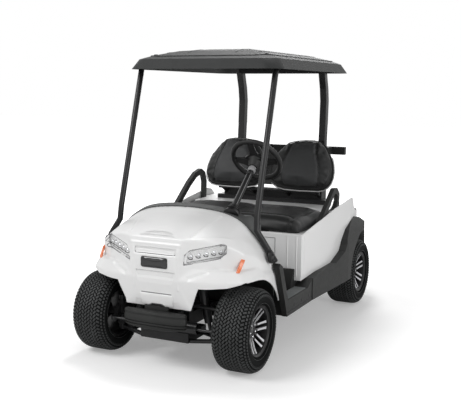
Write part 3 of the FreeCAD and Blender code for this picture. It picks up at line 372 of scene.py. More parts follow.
def plate_on(shape, node, axis, start, outline, lift, inset, sink=0.002):
    """A raised plate that follows a solid's surface."""
    n = across(axis, 0, 0, start).normalized()
    pts = divided(list(outline) + [outline[0]], 0.03)[:-1]
    mid = sum(pts, Vector((0, 0))) / len(pts)
    rings = []
    for out, shrink in ((-sink, 0), (lift * 0.6, 0), (lift, inset), (lift, 0.4), (lift, 0.8)):
        ring = []
        for p in pts:
            q = p + (mid - p) * (shrink if shrink > 0.1 else shrink / max((mid - p).length, 0.001))
            at = surface(node, axis, q[0], q[1], start)[0] or across(axis, q[0], q[1], 0)
            ring.append(at + n * out)
        rings.append(ring)
    shape.rings(rings)


def divided(points, step):
    out = []
    for p, q in zip(points, points[1:]):
        p, q = Vector(p), Vector(q)
        n = max(1, int((q - p).length / step))
        out += [p.lerp(q, i / n) for i in range(n)]
    return out + [Vector(points[-1])]


def rounded(x0, x1, z0, z1, r, steps=5):
    out = []
    for cx, cz, start in ((x1 - r, z1 - r, 0), (x0 + r, z1 - r, 90), (x0 + r, z0 + r, 180), (x1 - r, z0 + r, 270)):
        for i in range(steps + 1):
            q = radians(start + 90 * i / steps)
            out.append((cx + r * cos(q), cz + r * sin(q)))
    return out


def both(names):
    """Names that end in an underscore stand for the left and the right piece."""
    return [name + side for name in names.split() for side in (("left", "right") if name.endswith("_") else ("",))]


def dress(mat, names):
    for name in both(names):
        obj = nodes[name]
        obj.data.materials.clear()
        obj.data.materials.append(M[mat])
        obj.data.polygons.foreach_set("material_index", [0] * len(obj.data.polygons))


def soften(width, angle, names):
    """Round solids' edges with modifiers, their meshes untouched."""
    for name in both(names):
        mod = nodes[name].modifiers.new("weld", "WELD")
        mod.merge_threshold = 0.0001
        beveled(nodes[name], width, 2, angle)


def evaluated(obj):
    return bpy.data.meshes.new_from_object(obj.evaluated_get(bpy.context.evaluated_depsgraph_get()))


def remeshed(mesh, voxel):
    obj = linked("remesh", mesh)
    mod = obj.modifiers.new("remesh", "REMESH")
    mod.mode, mod.voxel_size = "VOXEL", voxel
    out = evaluated(obj)
    bpy.data.objects.remove(obj)
    return out


def read(items, key, width=1, kind=float):
    """One attribute of all points, edges, faces or loops."""
    out = np.empty(len(items) * width, dtype=kind)
    items.foreach_get(key, out)
    return out.reshape(-1, width) if width > 1 else out


def coords(mesh):
    return read(mesh.vertices, "co", 3)


def centers(mesh):
    return read(mesh.polygons, "center", 3)


def moved(mesh, co):
    mesh.vertices.foreach_set("co", co.ravel())
    mesh.update()
    return co


def relaxed(mesh, co, fixed, rounds):
    """Move free points half way to the mean of their neighbours, round by round."""
    pairs = read(mesh.edges, "vertices", 2, int)
    count = np.bincount(pairs.ravel(), minlength=len(co)).astype(float)[:, None]
    for _ in range(rounds):
        total = np.zeros_like(co)
        for k in range(3):
            total[:, k] = (np.bincount(pairs[:, 0], co[pairs[:, 1], k], len(co))
                           + np.bincount(pairs[:, 1], co[pairs[:, 0], k], len(co)))
        step = total / np.maximum(count, 1) - co
        step[fixed] = 0
        co = co + step * 0.5
    return co


def near(p, a, b):
    """Distance of points from a line between two ends."""
    a, b = np.array(a), np.array(b)
    t = np.clip(((p - a) @ (b - a)) / ((b - a) @ (b - a)), 0, 1)
    return np.linalg.norm(p - (a + t[:, None] * (b - a)), axis=1)


def bead(gap, width):
    """A round-topped line, 1 at its middle."""
    return np.exp(-(gap / width) ** 2)


def inside(p, poly, soft):
    """1 inside a polygon, easing to 0 at its edge."""
    poly = np.array(poly)
    x, y = p[:, 0], p[:, 1]
    hit = np.zeros(len(p), bool)
    gap = np.full(len(p), 9.0)
    for a, b in zip(poly, np.roll(poly, -1, 0)):
        cross = (a[1] > y) != (b[1] > y)
        with np.errstate(divide="ignore", invalid="ignore"):
            hit ^= cross & (x < (b[0] - a[0]) * (y - a[1]) / (b[1] - a[1]) + a[0])
        gap = np.minimum(gap, near(p, a, b))
    return np.where(hit, np.clip(gap / soft, 0, 1), 0)


# Wheels. TYRE is half a tyre's profile, as places along the axle and radii
TYRE = ((0.0, 0.2245), (0.05, 0.2245), (0.072, 0.222), (0.086, 0.216), (0.0955, 0.206), (0.1, 0.194), (0.1025, 0.18),
        (0.1015, 0.17), (0.097, 0.158), (0.091, 0.151), (0.0865, 0.147), (0.083, 0.1435), (0.0785, 0.14),
        (0.0775, 0.13))


def profile_at(s):
    """Place and outward direction at a distance along the tyre's profile."""
    total = 0.0
    for (x0, r0), (x1, r1) in zip(TYRE, TYRE[1:]):
        part = hypot(x1 - x0, r1 - r0)
        if s <= total + part:
            k = (s - total) / part
            return x0 + (x1 - x0) * k, r0 + (r1 - r0) * k, Vector((-(r1 - r0), x1 - x0)).normalized()
        total += part
    return TYRE[-1][0], TYRE[-1][1], Vector((1, 0))


def tyre_shape():
    shape = Shape()
    outline = [(-x, r) for x, r in TYRE[:0:-1]] + list(TYRE)
    # The carcass under the blocks takes the darker rubber, painted shade; the blocks take the lighter one, painted
    # highlight
    shape.lathe(outline + [(0.0775, 0.1285), (-0.0775, 0.1285)], 96, closed=True, slot=1)
    rows = ((0.0, 0.026, 0.0105, 0), (0.019, 0.026, 0.0105, 1), (0.038, 0.026, 0.0105, 0), (0.057, 0.026, 0.0105, 1),
            (0.077, 0.023, 0.0115, 0), (0.096, 0.012, 0.0135, 1), (0.113, 0.009, 0.0115, 0))
    count = 66
    for side in (1, -1):
        for row, (s, length, width, odd) in enumerate(rows):
            if side < 0 and row == 0:
                continue
            x, r, n = profile_at(s)
            rise = WHEEL_Z - TYRE[0][1] if row < 4 else 0.0034
            skew = radians((52 if odd else -52) * side * (1 if row < 4 else 0.5 if row == 4 else 0))
            w, l = width / 2, length / 2 * 0.86
            foot = ((-w, -l), (w, -l), (w, l), (-w, l))
            block = [(u, v, -0.002) for u, v in foot] + [(u * 0.86, v * 0.88, rise) for u, v in foot]
            for i in range(count):
                q = 2 * pi * (i + 0.5 * odd + (0.25 if side < 0 else 0)) / count
                radial = Vector((0, cos(q), sin(q)))
                normal = Vector((n[0] * side, 0, 0)) + radial * n[1]
                along = Vector((0, -sin(q), cos(q)))
                a = along * cos(skew) + along.cross(normal) * sin(skew)
                m = Matrix((a, normal.cross(a), normal)).transposed().to_4x4()
                m.translation = Vector((x * side, 0, 0)) + radial * r
                shape.add(block, BLOCK_SIDES, 0, m)
        for r in (0.152, 0.188):
            x = max(px for px, pr in TYRE if abs(pr - r) < 0.008)
            ring = [(side * (x + 0.0004), r * cos(q), r * sin(q)) for q in turns(96)]
            shape.tube(ring, 0.0013, 6, closed=True)
    return shape


def rim_shape():
    """Barrel, hub, cap, five nuts, seven split spokes and a valve."""
    shape = Shape()
    barrel = ((-0.088, 0.1428), (-0.0795, 0.1428), (-0.0775, 0.138), (-0.0775, 0.128), (-0.066, 0.126),
              (-0.05, 0.1225), (0.055, 0.1225), (0.068, 0.126), (0.0775, 0.128), (0.0775, 0.138), (0.0795, 0.1428),
              (0.086, 0.1428), (0.088, 0.141), (0.088, 0.137), (0.0855, 0.1345), (0.083, 0.13), (0.081, 0.1245),
              (0.06, 0.1205), (0.045, 0.119), (-0.06, 0.119), (-0.075, 0.123), (-0.088, 0.138))
    shape.lathe(barrel, 72, closed=True, slot=2)
    face = 0.044
    shape.lathe(((0.002, 0.05), (0.022, 0.05), (0.036, 0.047), (face - 0.003, 0.043), (face, 0.04), (face, 0.026),
                 (face - 0.004, 0.024), (face - 0.012, 0.024), (face - 0.012, 0.0), (0.002, 0.0)), 48)
    shape.lathe(((face - 0.012, 0.0235), (face - 0.002, 0.0235), (face + 0.002, 0.021), (face + 0.0035, 0.014),
                 (face + 0.004, 0.0005)), 36)
    nut = [(face - 0.01, 0.0065), (face + 0.006, 0.0065), (face + 0.008, 0.0045)]
    for q in turns(5):
        turn = Matrix.Rotation(q + 0.3, 4, "X")
        shape.lathe(nut, 6, slot=1, matrix=turn @ Matrix.Translation((0, 0, 0.034)))
    for q in turns(7):
        turn = Matrix.Rotation(q, 4, "X")
        for off in (-1, 1):
            rings, strip = [], []
            for z, x1, w in ((0.036, 0.042, 0.0085), (0.06, 0.048, 0.0075), (0.09, 0.058, 0.0078),
                             (0.112, 0.0675, 0.0085), (0.1275, 0.0765, 0.011)):
                mid = off * (0.0135 + (z - 0.036) * 0.03)
                x0 = x1 - 0.021
                rings.append([(x0, mid - w, z), (x1 - 0.003, mid - w, z), (x1, mid - w + 0.003, z),
                              (x1, mid + w - 0.003, z), (x1 - 0.003, mid + w, z), (x0, mid + w, z)])
                if z > 0.04:
                    lo, hi = mid - off * w * 0.5, mid + off * (w - 0.0008)
                    back, front = x1 - 0.002, x1 + 0.0009
                    strip.append([(back, lo, z), (front, lo, z), (front, hi, z), (back, hi, z)])
            shape.rings(rings, matrix=turn)
            shape.rings(strip, slot=1, matrix=turn)
    shape.lathe(((0.0872, 0.1412), (0.088, 0.1408), (0.088, 0.1378), (0.0868, 0.1374)), 72, closed=True, slot=2)
    shape.tube([(0.078, 0.0, -0.131), (0.084, 0.0, -0.1255)], 0.0035, 8)
    return shape


def wheels():
    pieces = (("tyre", tyre_shape(), ("rubber", "groove"), 28, "tyre"),
              ("rim", rim_shape(), ("alloy", "cut", "tube"), 32, "alloy"))
    for end, y, half in (("front", FRONT_Y, 0.438), ("rear", REAR_Y, 0.489)):
        for name, side in SIDES:
            place = outward(side, half, y, WHEEL_Z)
            turn = Matrix.Rotation(random.uniform(0, 0.8), 4, "X")
            for kind, shape, mats, angle, slot in pieces:
                obj = shape.made("%s_%s_%s" % (kind, end, name), "%s_wheel_%s" % (end, name), *mats, angle=angle,
                                 place=place, turn=turn)
                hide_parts("%s_%s_%s" % (end, kind, name))


# Front of the cowl
def hood_out(center, normal):
    """How far a face looks away from under the hood, from -1 to 1."""
    return (center - Vector((0.55 * center.x, -0.78, 0.42))).normalized().dot(normal)


def outer_faces(mesh):
    """The outside of the remeshed cowl, in one piece, four points a face."""
    total, first = (read(mesh.polygons, key, kind=int) for key in ("loop_total", "loop_start"))
    index = read(mesh.loops, "vertex_index", kind=int)
    faces = index[first[:, None] + np.minimum(np.arange(4), (total - 1)[:, None])]
    center, normal = centers(mesh), read(mesh.polygons, "normal", 3)
    eye = np.array([[0, -0.78, 0.42]]).repeat(len(center), 0)
    eye[:, 0] = 0.55 * center[:, 0]
    away = center - eye
    away /= np.linalg.norm(away, axis=1)[:, None]
    keep = (away * normal).sum(1) > OUTER
    faces, total = faces[keep], total[keep]
    label = np.arange(len(mesh.vertices))
    for _ in range(400):
        low = label[faces].min(1)
        before = label.copy()
        for k in range(4):
            np.minimum.at(label, faces[:, k], low)
        label = label[label]
        if (label == before).all():
            break
    groups, size = np.unique(label[faces[:, 0]], return_counts=True)
    keep = label[faces[:, 0]] == groups[size.argmax()]
    return faces[keep], total[keep]


def border(faces, pairs, count):
    """Points on the skin's edge or within two steps of it."""
    sides = np.concatenate([np.sort(np.stack((faces[:, k], faces[:, (k + 1) % 4]), 1), 1) for k in range(4)])
    code, times = np.unique(sides[:, 0] * count + sides[:, 1], return_counts=True)
    edge = code[times == 1]
    fixed = np.zeros(count, bool)
    fixed[edge // count] = fixed[edge % count] = True
    for _ in range(2):
        grown = fixed.copy()
        grown[pairs[fixed[pairs[:, 0]], 1]] = True
        grown[pairs[fixed[pairs[:, 1]], 0]] = True
        fixed = grown
    return fixed


def cowl_relief(co, normal):
    """Heights of the creases and depths of the slot and scoops."""
    flat = np.stack((np.abs(co[:, 0]), co[:, 2]), 1)
    front = np.clip((-normal[:, 1] - 0.25) / 0.3, 0, 1) * (co[:, 1] < -0.95)
    scoop = np.clip((flat[:, 1] - 0.475) / 0.066, 0, 1)
    lift = np.zeros(len(co))
    for deep, share, soft, corners in (
            (0.012, 1, 0.004, ((-0.3, 0.6575), (0.1235, 0.6575), (0.121, 0.669), (-0.3, 0.669))),
            (0.0035, 1, 0.005, ((-0.3, 0.634), (0.127, 0.634), (0.127, 0.6575), (-0.3, 0.6575))),
            (0.011, scoop, 0.006, ((-0.3, 0.47), (0.104, 0.47), (0.121, 0.544), (-0.3, 0.544))),
            (0.006, 1, 0.016, ((0.176, 0.528), (0.3, 0.572), (0.296, 0.544), (0.188, 0.496)))):
        lift -= deep * front * share * inside(flat, corners, soft)
    for side in (1, -1):
        for high, width, share, a, b in (
                (0.0042, 0.0065, 1, (0.19, -1.075, 0.733), (0.24, -0.81, 0.812)),
                (0.0022, 0.008, 1, (0.243, -1.052, 0.722), (0.39, -0.93, 0.722)),
                (0.0032, 0.005, front, (0.135, -1.13, 0.69), (0.135, -1.12, 0.45))):
            lift += high * share * bead(near(co, (side * a[0], *a[1:]), (side * b[0], *b[1:])), width)
    for high, width, z, x in ((0.004, 0.008, 0.689, 0.15), (0.0016, 0.006, 0.626, 0.13)):
        lift += high * front * bead(near(flat, (-0.3, z), (x, z)), width)
    return lift


def cowl_skin():
    """The cowl's outside, remeshed finely, smoothed and creased, with painted shade lines in grey along its slot,
    scoop and plate edges.
    """
    mesh = remeshed(nodes["front_cowl"].data.copy(), 0.0034)
    faces, total = outer_faces(mesh)
    used, flat = np.unique(faces.ravel(), return_inverse=True)
    faces = flat.reshape(-1, 4)
    co = coords(mesh)[used]
    skin = bpy.data.meshes.new("cowl_skin")
    skin.from_pydata(co.tolist(), [], [tuple(f[:n]) for f, n in zip(faces.tolist(), total.tolist())])
    skin.validate()
    fixed = border(faces, read(skin.edges, "vertices", 2, int), len(co))
    cad = nodes["front_cowl"].data
    verts = [v.co for v in cad.vertices]
    out = [hood_out(p.center, p.normal) > OUTER for p in cad.polygons]
    shell = BVHTree.FromPolygons(verts, [tuple(p.vertices) for p, o in zip(cad.polygons, out) if o])
    co = moved(skin, relaxed(skin, np.array([shell.find_nearest(Vector(v))[0] for v in co]), fixed, 22))
    normal = read(skin.vertices, "normal", 3)
    moved(skin, co + normal * cowl_relief(co, normal)[:, None])
    back = Shape().add(verts, [tuple(p.vertices) for p, o in zip(cad.polygons, out) if not o])
    back.made("cowl_inside", "chassis", "white", angle=30)
    spot = centers(skin)
    ahead = spot[:, 1] < -1.0
    spot = np.abs(spot[:, [0, 2]])
    # Faces along the slot, scoop and plate edges take the grey of painted shade
    line = np.zeros(len(spot), bool)
    for lo, hi in (((-1, 0.659), (0.1225, 0.6675)), ((0.1185, 0.637), (0.1245, 0.6675)),
                   ((-1, 0.536), (0.118, 0.544)), ((-1, 0.634), (0.121, 0.6375)), ((-1, 0.4165), (0.094, 0.421))):
        line |= ahead & (spot > lo).all(1) & (spot < hi).all(1)
    painted(skin, line.astype(int), "white", "crease")
    obj = linked("cowl_skin", skin)
    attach(obj, "chassis")
    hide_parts("front_cowl")


# Outline of a lamp, as shares of its width and height
LAMP = ((0, 0), (.03, .5), (.16, .72), (.88, 1.0), (1.0, .92), (.99, .55), (.86, .33))


def lamp_point(side, u, v):
    return Vector((side * (0.163 + 0.203 * u), 0.585 + 0.115 * v))


def headlamp(name, side):
    """A bowl with five reflectors, a clear cover and a seal, with painted shade: dark arcs under the reflectors and a
    grey line low in the bowl.
    """
    node = "headlamp_" + name
    outline = [lamp_point(side, u, v) for u, v in LAMP]
    for k in (0.12, 0.25):
        outline = [q for a, b in zip(outline, outline[1:] + outline[:1]) for q in (a.lerp(b, k), a.lerp(b, 1 - k))]
    mid = sum(outline, Vector((0, 0))) / len(outline)
    pts = divided(outline + [outline[0]], 0.012)[:-1]

    def on(p):
        return surface(node, "Y", p.x, p.y, -2)[0]

    def ring(shrink, deep):
        out = []
        for p in pts:
            q = p + (mid - p).normalized() * shrink
            at = on(q) or surface("front_cowl", "Y", q.x, q.y, -2)[0] or Vector((q.x, -1.05, q.y))
            out.append(at + Vector((0, deep, 0)))
        return out

    def cup(*rings):
        shape = Shape().rings([ring(*r) for r in rings[:-1]], caps=False)
        back = ring(*rings[-1])
        return shape.add(back, [tuple(range(len(back)))[::-1]])

    bowl = cup((0.0015, 0.0005), (0.004, 0.006), (0.01, 0.011), (0.0115, 0.0115))
    deep = Vector((0, 0.008, 0))
    low = [on(lamp_point(side, u, 0.1 + 0.36 * u)) for u in (0.06 + 0.86 * k / 18 for k in range(19))]
    # A grey line low in the bowl, painted shade
    bowl.tube([at + deep for at in low if at], 0.0016, 8, slot=4)
    for i, u in enumerate((0.16, 0.34, 0.52, 0.7, 0.86)):
        bottom, top = 0.33 * u / 0.86, 0.66 + 0.34 * u
        at = on(lamp_point(side, u, bottom + (top - bottom) * (0.56 if i < 4 else 0.5)))
        if not at:
            continue
        r = 0.0168 if i < 4 else 0.0135
        m = aimed(at + deep, (0, -1, 0))
        bowl.lathe(((-0.006, 0.002), (-0.0045, r * 0.6), (0.0, r * 0.9), (0.002, r * 0.97), (0.003, r),
                    (0.003, r * 1.08), (-0.006, r * 1.1)), 28, slot=2, matrix=m)
        dome = [(-0.003 + r * 0.5 * cos(q), max(r * 0.5 * sin(q), 0.0004))
                for q in (pi / 2 * k / 5 for k in range(5, -1, -1))]
        bowl.lathe([(-0.004, r * 0.45)] + dome, 20, slot=3, matrix=m)
        # A dark arc under each reflector's rim, painted shade
        shade_arc = [m @ Vector((0.0035, r * 0.97 * cos(q), r * 0.97 * sin(q)))
               for q in (radians(205 + 120 * k / 12) for k in range(13))]
        bowl.tube(shade_arc, 0.0024, 6, slot=1)
    obj = bowl.made("lamp_inner_" + name, "chassis", "bowl", "dark", "bowl", "chrome", "shadow")
    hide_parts(node)
    lens = cup((0.0012, -0.0008), (0.008, -0.0014), (0.03, -0.0014), (0.0305, -0.0014))
    lens.made("lamp_glass_" + name, "chassis", "glass")
    seal = Shape().tube(ring(0.0, -0.0006), 0.003, 8, closed=True)
    seal.made("lamp_seal_" + name, "chassis", "shadow")


def nose():
    """Slot and chin plates, blank plaque and side markers."""
    plates = Shape()
    plate_on(plates, "front_cowl", "Y", -2, rounded(-0.119, 0.119, 0.6385, 0.656, 0.007), 0.0018, 0.003, 0.006)
    chin = ((-0.094, 0.352), (-0.088, 0.347), (0.088, 0.347), (0.094, 0.352), (0.1, 0.41), (0.096, 0.416),
            (-0.096, 0.416), (-0.1, 0.41))
    plate_on(plates, "front_cowl", "Y", -2, chin, 0.008, 0.007)
    plates.made("nose_plates", "chassis", "white", angle=50)
    plaque = rounded(-0.0785, 0.0785, 0.5645, 0.6175, 0.008)
    badge = Shape()
    plate_on(badge, "front_cowl", "Y", -2, plaque, 0.0052, 0.0025)
    badge.made("nose_plaque", "chassis", "alloy", angle=40)
    rim = Shape()
    line_on(rim, "front_cowl", "Y", -2, plaque + [(0.0785, 0.6095)], 0.0022, 0.1)
    rim.made("plaque_rim", "chassis", "trim", angle=40)
    for name, side in SIDES:
        low = [Vector((side * x, y, z)) for x, y, z in ((0.4223, -1.0091, 0.5522), (0.4369, -0.9995, 0.551))]
        top = [Vector((side * x, y, z)) for x, y, z in ((0.4313, -0.9616, 0.6185), (0.4448, -0.9465, 0.6125))]
        aim = Vector((side * 0.75, -0.63, 0.15)).normalized()
        rings = []
        for k in range(9):
            k /= 8
            a, b = low[0].lerp(top[0], k), low[1].lerp(top[1], k)
            lift = 0.0075 * min(1, 0.45 + 5 * k, 0.45 + 5 * (1 - k))
            rings.append([a - aim * 0.004, a + aim * lift * 0.6, a.lerp(b, 0.15) + aim * lift,
                          a.lerp(b, 0.85) + aim * lift, b + aim * lift * 0.6, b - aim * 0.004])
        Shape().rings(rings).made("marker_" + name, "chassis", "amber", angle=40)


def bumper():
    """Bumper with grooves and tow eye, and a dark box in the chin's notch that stands in for the shade there."""
    half, y0, deep, z0, high = 0.19, -1.163, 0.048, 0.226, 0.098
    shares = ((.72, 0), (.96, .12), (1.0, .3), (1.0, 1.0))

    def wide(z):
        k = (z - z0) / high
        for (a, b), (c, d) in zip(shares, shares[1:]):
            if k <= d:
                return half * (a + (c - a) * (k - b) / max(d - b, 0.001))
        return half

    def ring(z, inset):
        w = wide(z) - inset
        front = y0 + inset
        out = [(x, y, z) for x, y in (
            (w, y0 + deep), (w, y0 + deep * 0.6), (w * 0.96, y0 + deep * 0.42 + inset),
            (w * 0.8, y0 + deep * 0.22 + inset), (w * 0.62, front + 0.002), (w * 0.5, front))]
        return [(-x, y, z) for x, y, z in out] + out[::-1]

    levels = [(z0, 0.008), (z0 + 0.006, 0.002), (z0 + 0.014, 0.0)]
    for k in range(2):
        z = z0 + 0.02 + k * 0.015
        levels += [(z, 0.0), (z + 0.002, 0.005), (z + 0.0055, 0.005), (z + 0.0075, 0.0)]
    levels += [(z0 + 0.066, 0.0), (z0 + 0.072, 0.004), (z0 + 0.078, 0.004)]
    levels += [(z0 + high - 0.012, 0.001), (z0 + high - 0.004, 0.004), (z0 + high, 0.012)]
    shape = Shape().rings([ring(z, i) for z, i in levels])
    # Dark box in the notch under the chin, standing in for the shade there
    shape.box((-0.07, y0 + deep - 0.004, 0.292), (0.07, y0 + deep + 0.018, 0.348))
    tow_y, r = y0 + deep / 2, 0.019
    shape.box((-0.03, tow_y, 0.218), (0.03, tow_y + 0.04, 0.226))
    shape.box((-0.03, tow_y, 0.219), (0.03, tow_y + 0.0035, 0.235))
    eye = [(r * cos(q), tow_y + 0.0467 + r * sin(q), 0.222) for q in turns(28)]
    shape.tube(eye, 0.0055, 10, closed=True)
    obj = shape.made("bumper", "chassis", "trim", angle=40)
    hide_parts("front_bumper")


# Cushions
def puffed(shape, voxel, pinned, cap, pressure):
    """Cloth blown up from a closed shape, no point moved further than cap."""
    mesh = bpy.data.meshes.new("pad")
    mesh.from_pydata(shape.v, [], shape.f)
    mesh.validate()
    mesh = remeshed(mesh, voxel)
    co = coords(mesh)
    obj = linked("pad", mesh)
    group = obj.vertex_groups.new(name="pin")
    group.add([int(k) for k in np.nonzero(pinned(co))[0]], 1.0, "REPLACE")
    mod = obj.modifiers.new("cloth", "CLOTH")
    cloth = mod.settings
    cloth.quality, cloth.mass = 5, 0.3
    cloth.tension_stiffness = cloth.compression_stiffness = 22
    cloth.shear_stiffness, cloth.bending_stiffness = 8, 3
    cloth.use_pressure, cloth.uniform_pressure_force = True, pressure
    cloth.vertex_group_mass = "pin"
    cloth.effector_weights.gravity = 0
    mod.collision_settings.use_collision = False
    for k in range(1, 21):
        scene.frame_set(k)
    move = coords(evaluated(obj)) - co
    scene.frame_set(1)
    size = np.linalg.norm(move, axis=1)[:, None]
    co = co + move * np.minimum(1, cap / np.maximum(size, 1e-6))
    bpy.data.objects.remove(obj)
    return mesh, moved(mesh, relaxed(mesh, co, pinned(co), 3))


def pushed(mesh, co, lift):
    return moved(mesh, co + read(mesh.vertices, "normal", 3) * lift[:, None])


def tree_of(mesh, co):
    return BVHTree.FromPolygons([Vector(v) for v in co], [tuple(p.vertices) for p in mesh.polygons])


def sewn(name, mesh, body, node, slots, mats):
    painted(mesh, slots, *mats)
    obj = linked(name, mesh)
    mod = obj.modifiers.new("smooth", "SUBSURF")
    mod.levels = mod.render_levels = 1
    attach(obj, body)
    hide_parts(node)


def seam_tube(shape, tree, points, aim):
    """A welt half sunk in along a seam."""
    r, aim = 0.0022, Vector(aim)
    path = []
    for p in divided(points, 0.012):
        at = tree.ray_cast(Vector(p) - aim * 0.3, aim)[0]
        if at:
            path.append(at - aim * (r * 0.5))
    if len(path) > 2:
        shape.tube(path, r, 7)


def bench():
    """The seat's cushion with its seams, on a hinged board."""
    base = 0.6535

    def section(x):
        k = min(1, max(0, (0.492 - abs(x)) / 0.05)) ** 0.5
        dip = 0.007 * exp(-(x / 0.035) ** 2)
        z1 = 0.7 + 0.034 * k - dip
        y0, y1 = -0.285 + 0.024 * (1 - k), 0.258 - 0.012 * (1 - k)
        pts = [(y0 + 0.006, base), (y0 - 0.003, 0.672), (y0 - 0.001, z1 - 0.028), (y0 + 0.012, z1 - 0.01),
               (y0 + 0.036, z1), (y0 + 0.09, z1 + 0.002), (0, z1 - 0.002), (y1 - 0.06, z1 + 0.001),
               (y1 - 0.018, z1 - 0.006), (y1, z1 - 0.024), (y1 - 0.002, base)]
        return [(x, y, z) for y, z in pts]

    def pinned(c):
        return c[:, 2] < 0.658

    half = (0.02, 0.05, 0.1, 0.2, 0.3, 0.4, 0.44, 0.47, 0.484, 0.489)
    xs = [-x for x in half[::-1]] + [0, *half]
    mesh, co = puffed(Shape().rings([section(x) for x in xs]), 0.008, pinned, 0.016, 1.8)
    co = relaxed(mesh, co, pinned(co), 14)
    lift = np.zeros(len(co))
    for x in (-0.432, 0.0, 0.432):
        lift -= 0.005 * bead(co[:, 0] - x, 0.009) * (co[:, 2] > 0.662)
    top = (co[:, 2] > 0.7) & (np.abs(co[:, 0]) < 0.432)
    lift -= 0.004 * bead(co[:, 1] + 0.205, 0.009) * top
    co = pushed(mesh, co, lift)
    co[:, 2] = np.maximum(co[:, 2], base)
    moved(mesh, co)
    c = centers(mesh)
    seat = (c[:, 2] > 0.7) & (np.abs(c[:, 0]) < 0.43) & (np.abs(c[:, 0]) > 0.006) & (c[:, 1] > -0.203)
    tree = tree_of(mesh, co)
    sewn("bench_cushion", mesh, "seat_lid", "seat_bottom", seat.astype(int), ("vinyl", "panel"))
    line = Shape()
    for x in (-0.432, 0.0, 0.432):
        seam_tube(line, tree, [(x, -0.262, 0.72), (x, 0.24, 0.72)], (0, 0, -1))
        seam_tube(line, tree, [(x, -0.2, 0.665), (x, -0.2, 0.735)], (0, 1, 0))
    seam_tube(line, tree, [(-0.43, -0.205, 0.72), (0.43, -0.205, 0.72)], (0, 0, -1))
    line.made("bench_seams", "seat_lid", "vinyl")
    board = Shape().box((-0.47, -0.262, 0.6475), (0.47, 0.245, 0.6538))
    for x in (-0.26, 0.26):
        board.box((x - 0.035, -0.286, 0.6485), (x + 0.035, -0.24, 0.6532), 1)
        board.tube([(x + k * 0.014, -0.288, 0.652) for k in (-2.2, 2.2)], 0.0046, 16, slot=1)
    board.made("seat_board", "seat_lid", "trim", "rail", bevel=0.0012)


# Outline of a seat back, across and up along its lean
BACK = ((.079, .296), (.117, .338), (.17, .352), (.231, .36), (.3, .36), (.356, .35), (.396, .318), (.425, .274),
        (.45, .232), (.467, .184), (.477, .135), (.477, .093), (.468, .052), (.449, .022), (.42, .002), (.384, -.006),
        (.25, -.009), (.14, -.006), (.082, .006), (.036, .036), (.014, .08), (.012, .16), (.03, .235))


def back_point(x, w, d):
    """A point across, up along the lean and behind the face of a seat back."""
    return Vector((x, BACK_Y + LEAN_SIN * w + LEAN_COS * d, BACK_Z + LEAN_COS * w - LEAN_SIN * d))


def seat_back(name, side):
    """The padded cushion with its panel and seams, and the shell behind it, with a light grey line along the shell's
    lower edge as a painted highlight.
    """
    mid = Vector((0.245, 0.17))

    def ring(inset, d):
        out = []
        for x, w in BACK:
            p = Vector((x, w))
            q = p + (mid - p).normalized() * inset
            out.append(back_point(side * q.x, q.y, d))
        return out if side > 0 else out[::-1]

    body = [ring(0.022, -0.022), ring(0.014, -0.032), ring(0.013, -0.052), ring(0.022, -0.074), ring(0.045, -0.086),
            ring(0.09, -0.09), ring(0.14, -0.09)]

    def depth(c):
        return (c[:, 1] - BACK_Y) * LEAN_COS - (c[:, 2] - BACK_Z) * LEAN_SIN

    def local(c):
        return np.stack((c[:, 0] * side, (c[:, 1] - BACK_Y) * LEAN_SIN + (c[:, 2] - BACK_Z) * LEAN_COS), 1)

    mesh, co = puffed(Shape().rings(body[::-1]), 0.0065, lambda c: depth(c) > -0.032, 0.014, 3.0)
    outer = [(.335, .315), (.351, .24), (.378, .157), (.388, .1), (.388, .045), (.378, .02)]
    inner = [(.172, .312), (.15, .24), (.123, .157), (.118, .1), (.127, .05), (.15, .022)]
    low = [(.15, .022), (.378, .02)]
    flat, face = local(co), depth(co) < -0.05
    lift = np.zeros(len(co))
    for deep, line in ((0.0048, outer), (0.0048, inner), (0.0042, low)):
        gap = np.min([near(flat, a, b) for a, b in zip(line, line[1:])], 0)
        lift -= deep * bead(gap, 0.008) * face
    co = pushed(mesh, co, lift)
    c = centers(mesh)
    inset = inside(local(c), outer + inner[::-1], 0.001) * (depth(c) < -0.05)
    tree = tree_of(mesh, co)
    sewn("back_cushion_" + name, mesh, "chassis", "seat_back_" + name, (inset > 0).astype(int), ("vinyl", "inset"))
    line = Shape()
    for pts in (outer, inner, low):
        seam_tube(line, tree, [back_point(side * x, w, -0.06) for x, w in pts], (0, LEAN_COS, -LEAN_SIN))
    line.made("back_seams_" + name, "chassis", "vinyl")
    shell = Shape()
    shell.rings([ring(0.1, -0.001), ring(0.024, -0.001), ring(0.012, -0.008), ring(0.006, -0.018),
                 ring(0.004, -0.026), ring(0.01, -0.029), ring(0.03, -0.027)])
    rib = ((-0.001, -0.03), (0.06, -0.03), (0.06, -0.006), (-0.001, -0.006))
    shell.rings([[back_point(side * x, w, d) for x, d in rib] for w in (0.03, 0.045, 0.1, 0.18, 0.255, 0.27)])
    # Light grey line along the shell's lower edge, a painted highlight
    shell.tube([back_point(side * x, w, -0.029) for x, w in BACK[8:20]], 0.0038, 8, slot=1)
    bar = ((0.13, -0.006), (0.37, -0.006), (0.37, 0.006), (0.13, 0.006))
    for w in (0.08, 0.17, 0.26):
        shell.rings([[back_point(side * x, w + h, d) for x, h in bar] for d in (-0.002, 0.004)])
    shell.made("back_shell_" + name, "chassis", "trim", "edge", angle=40)


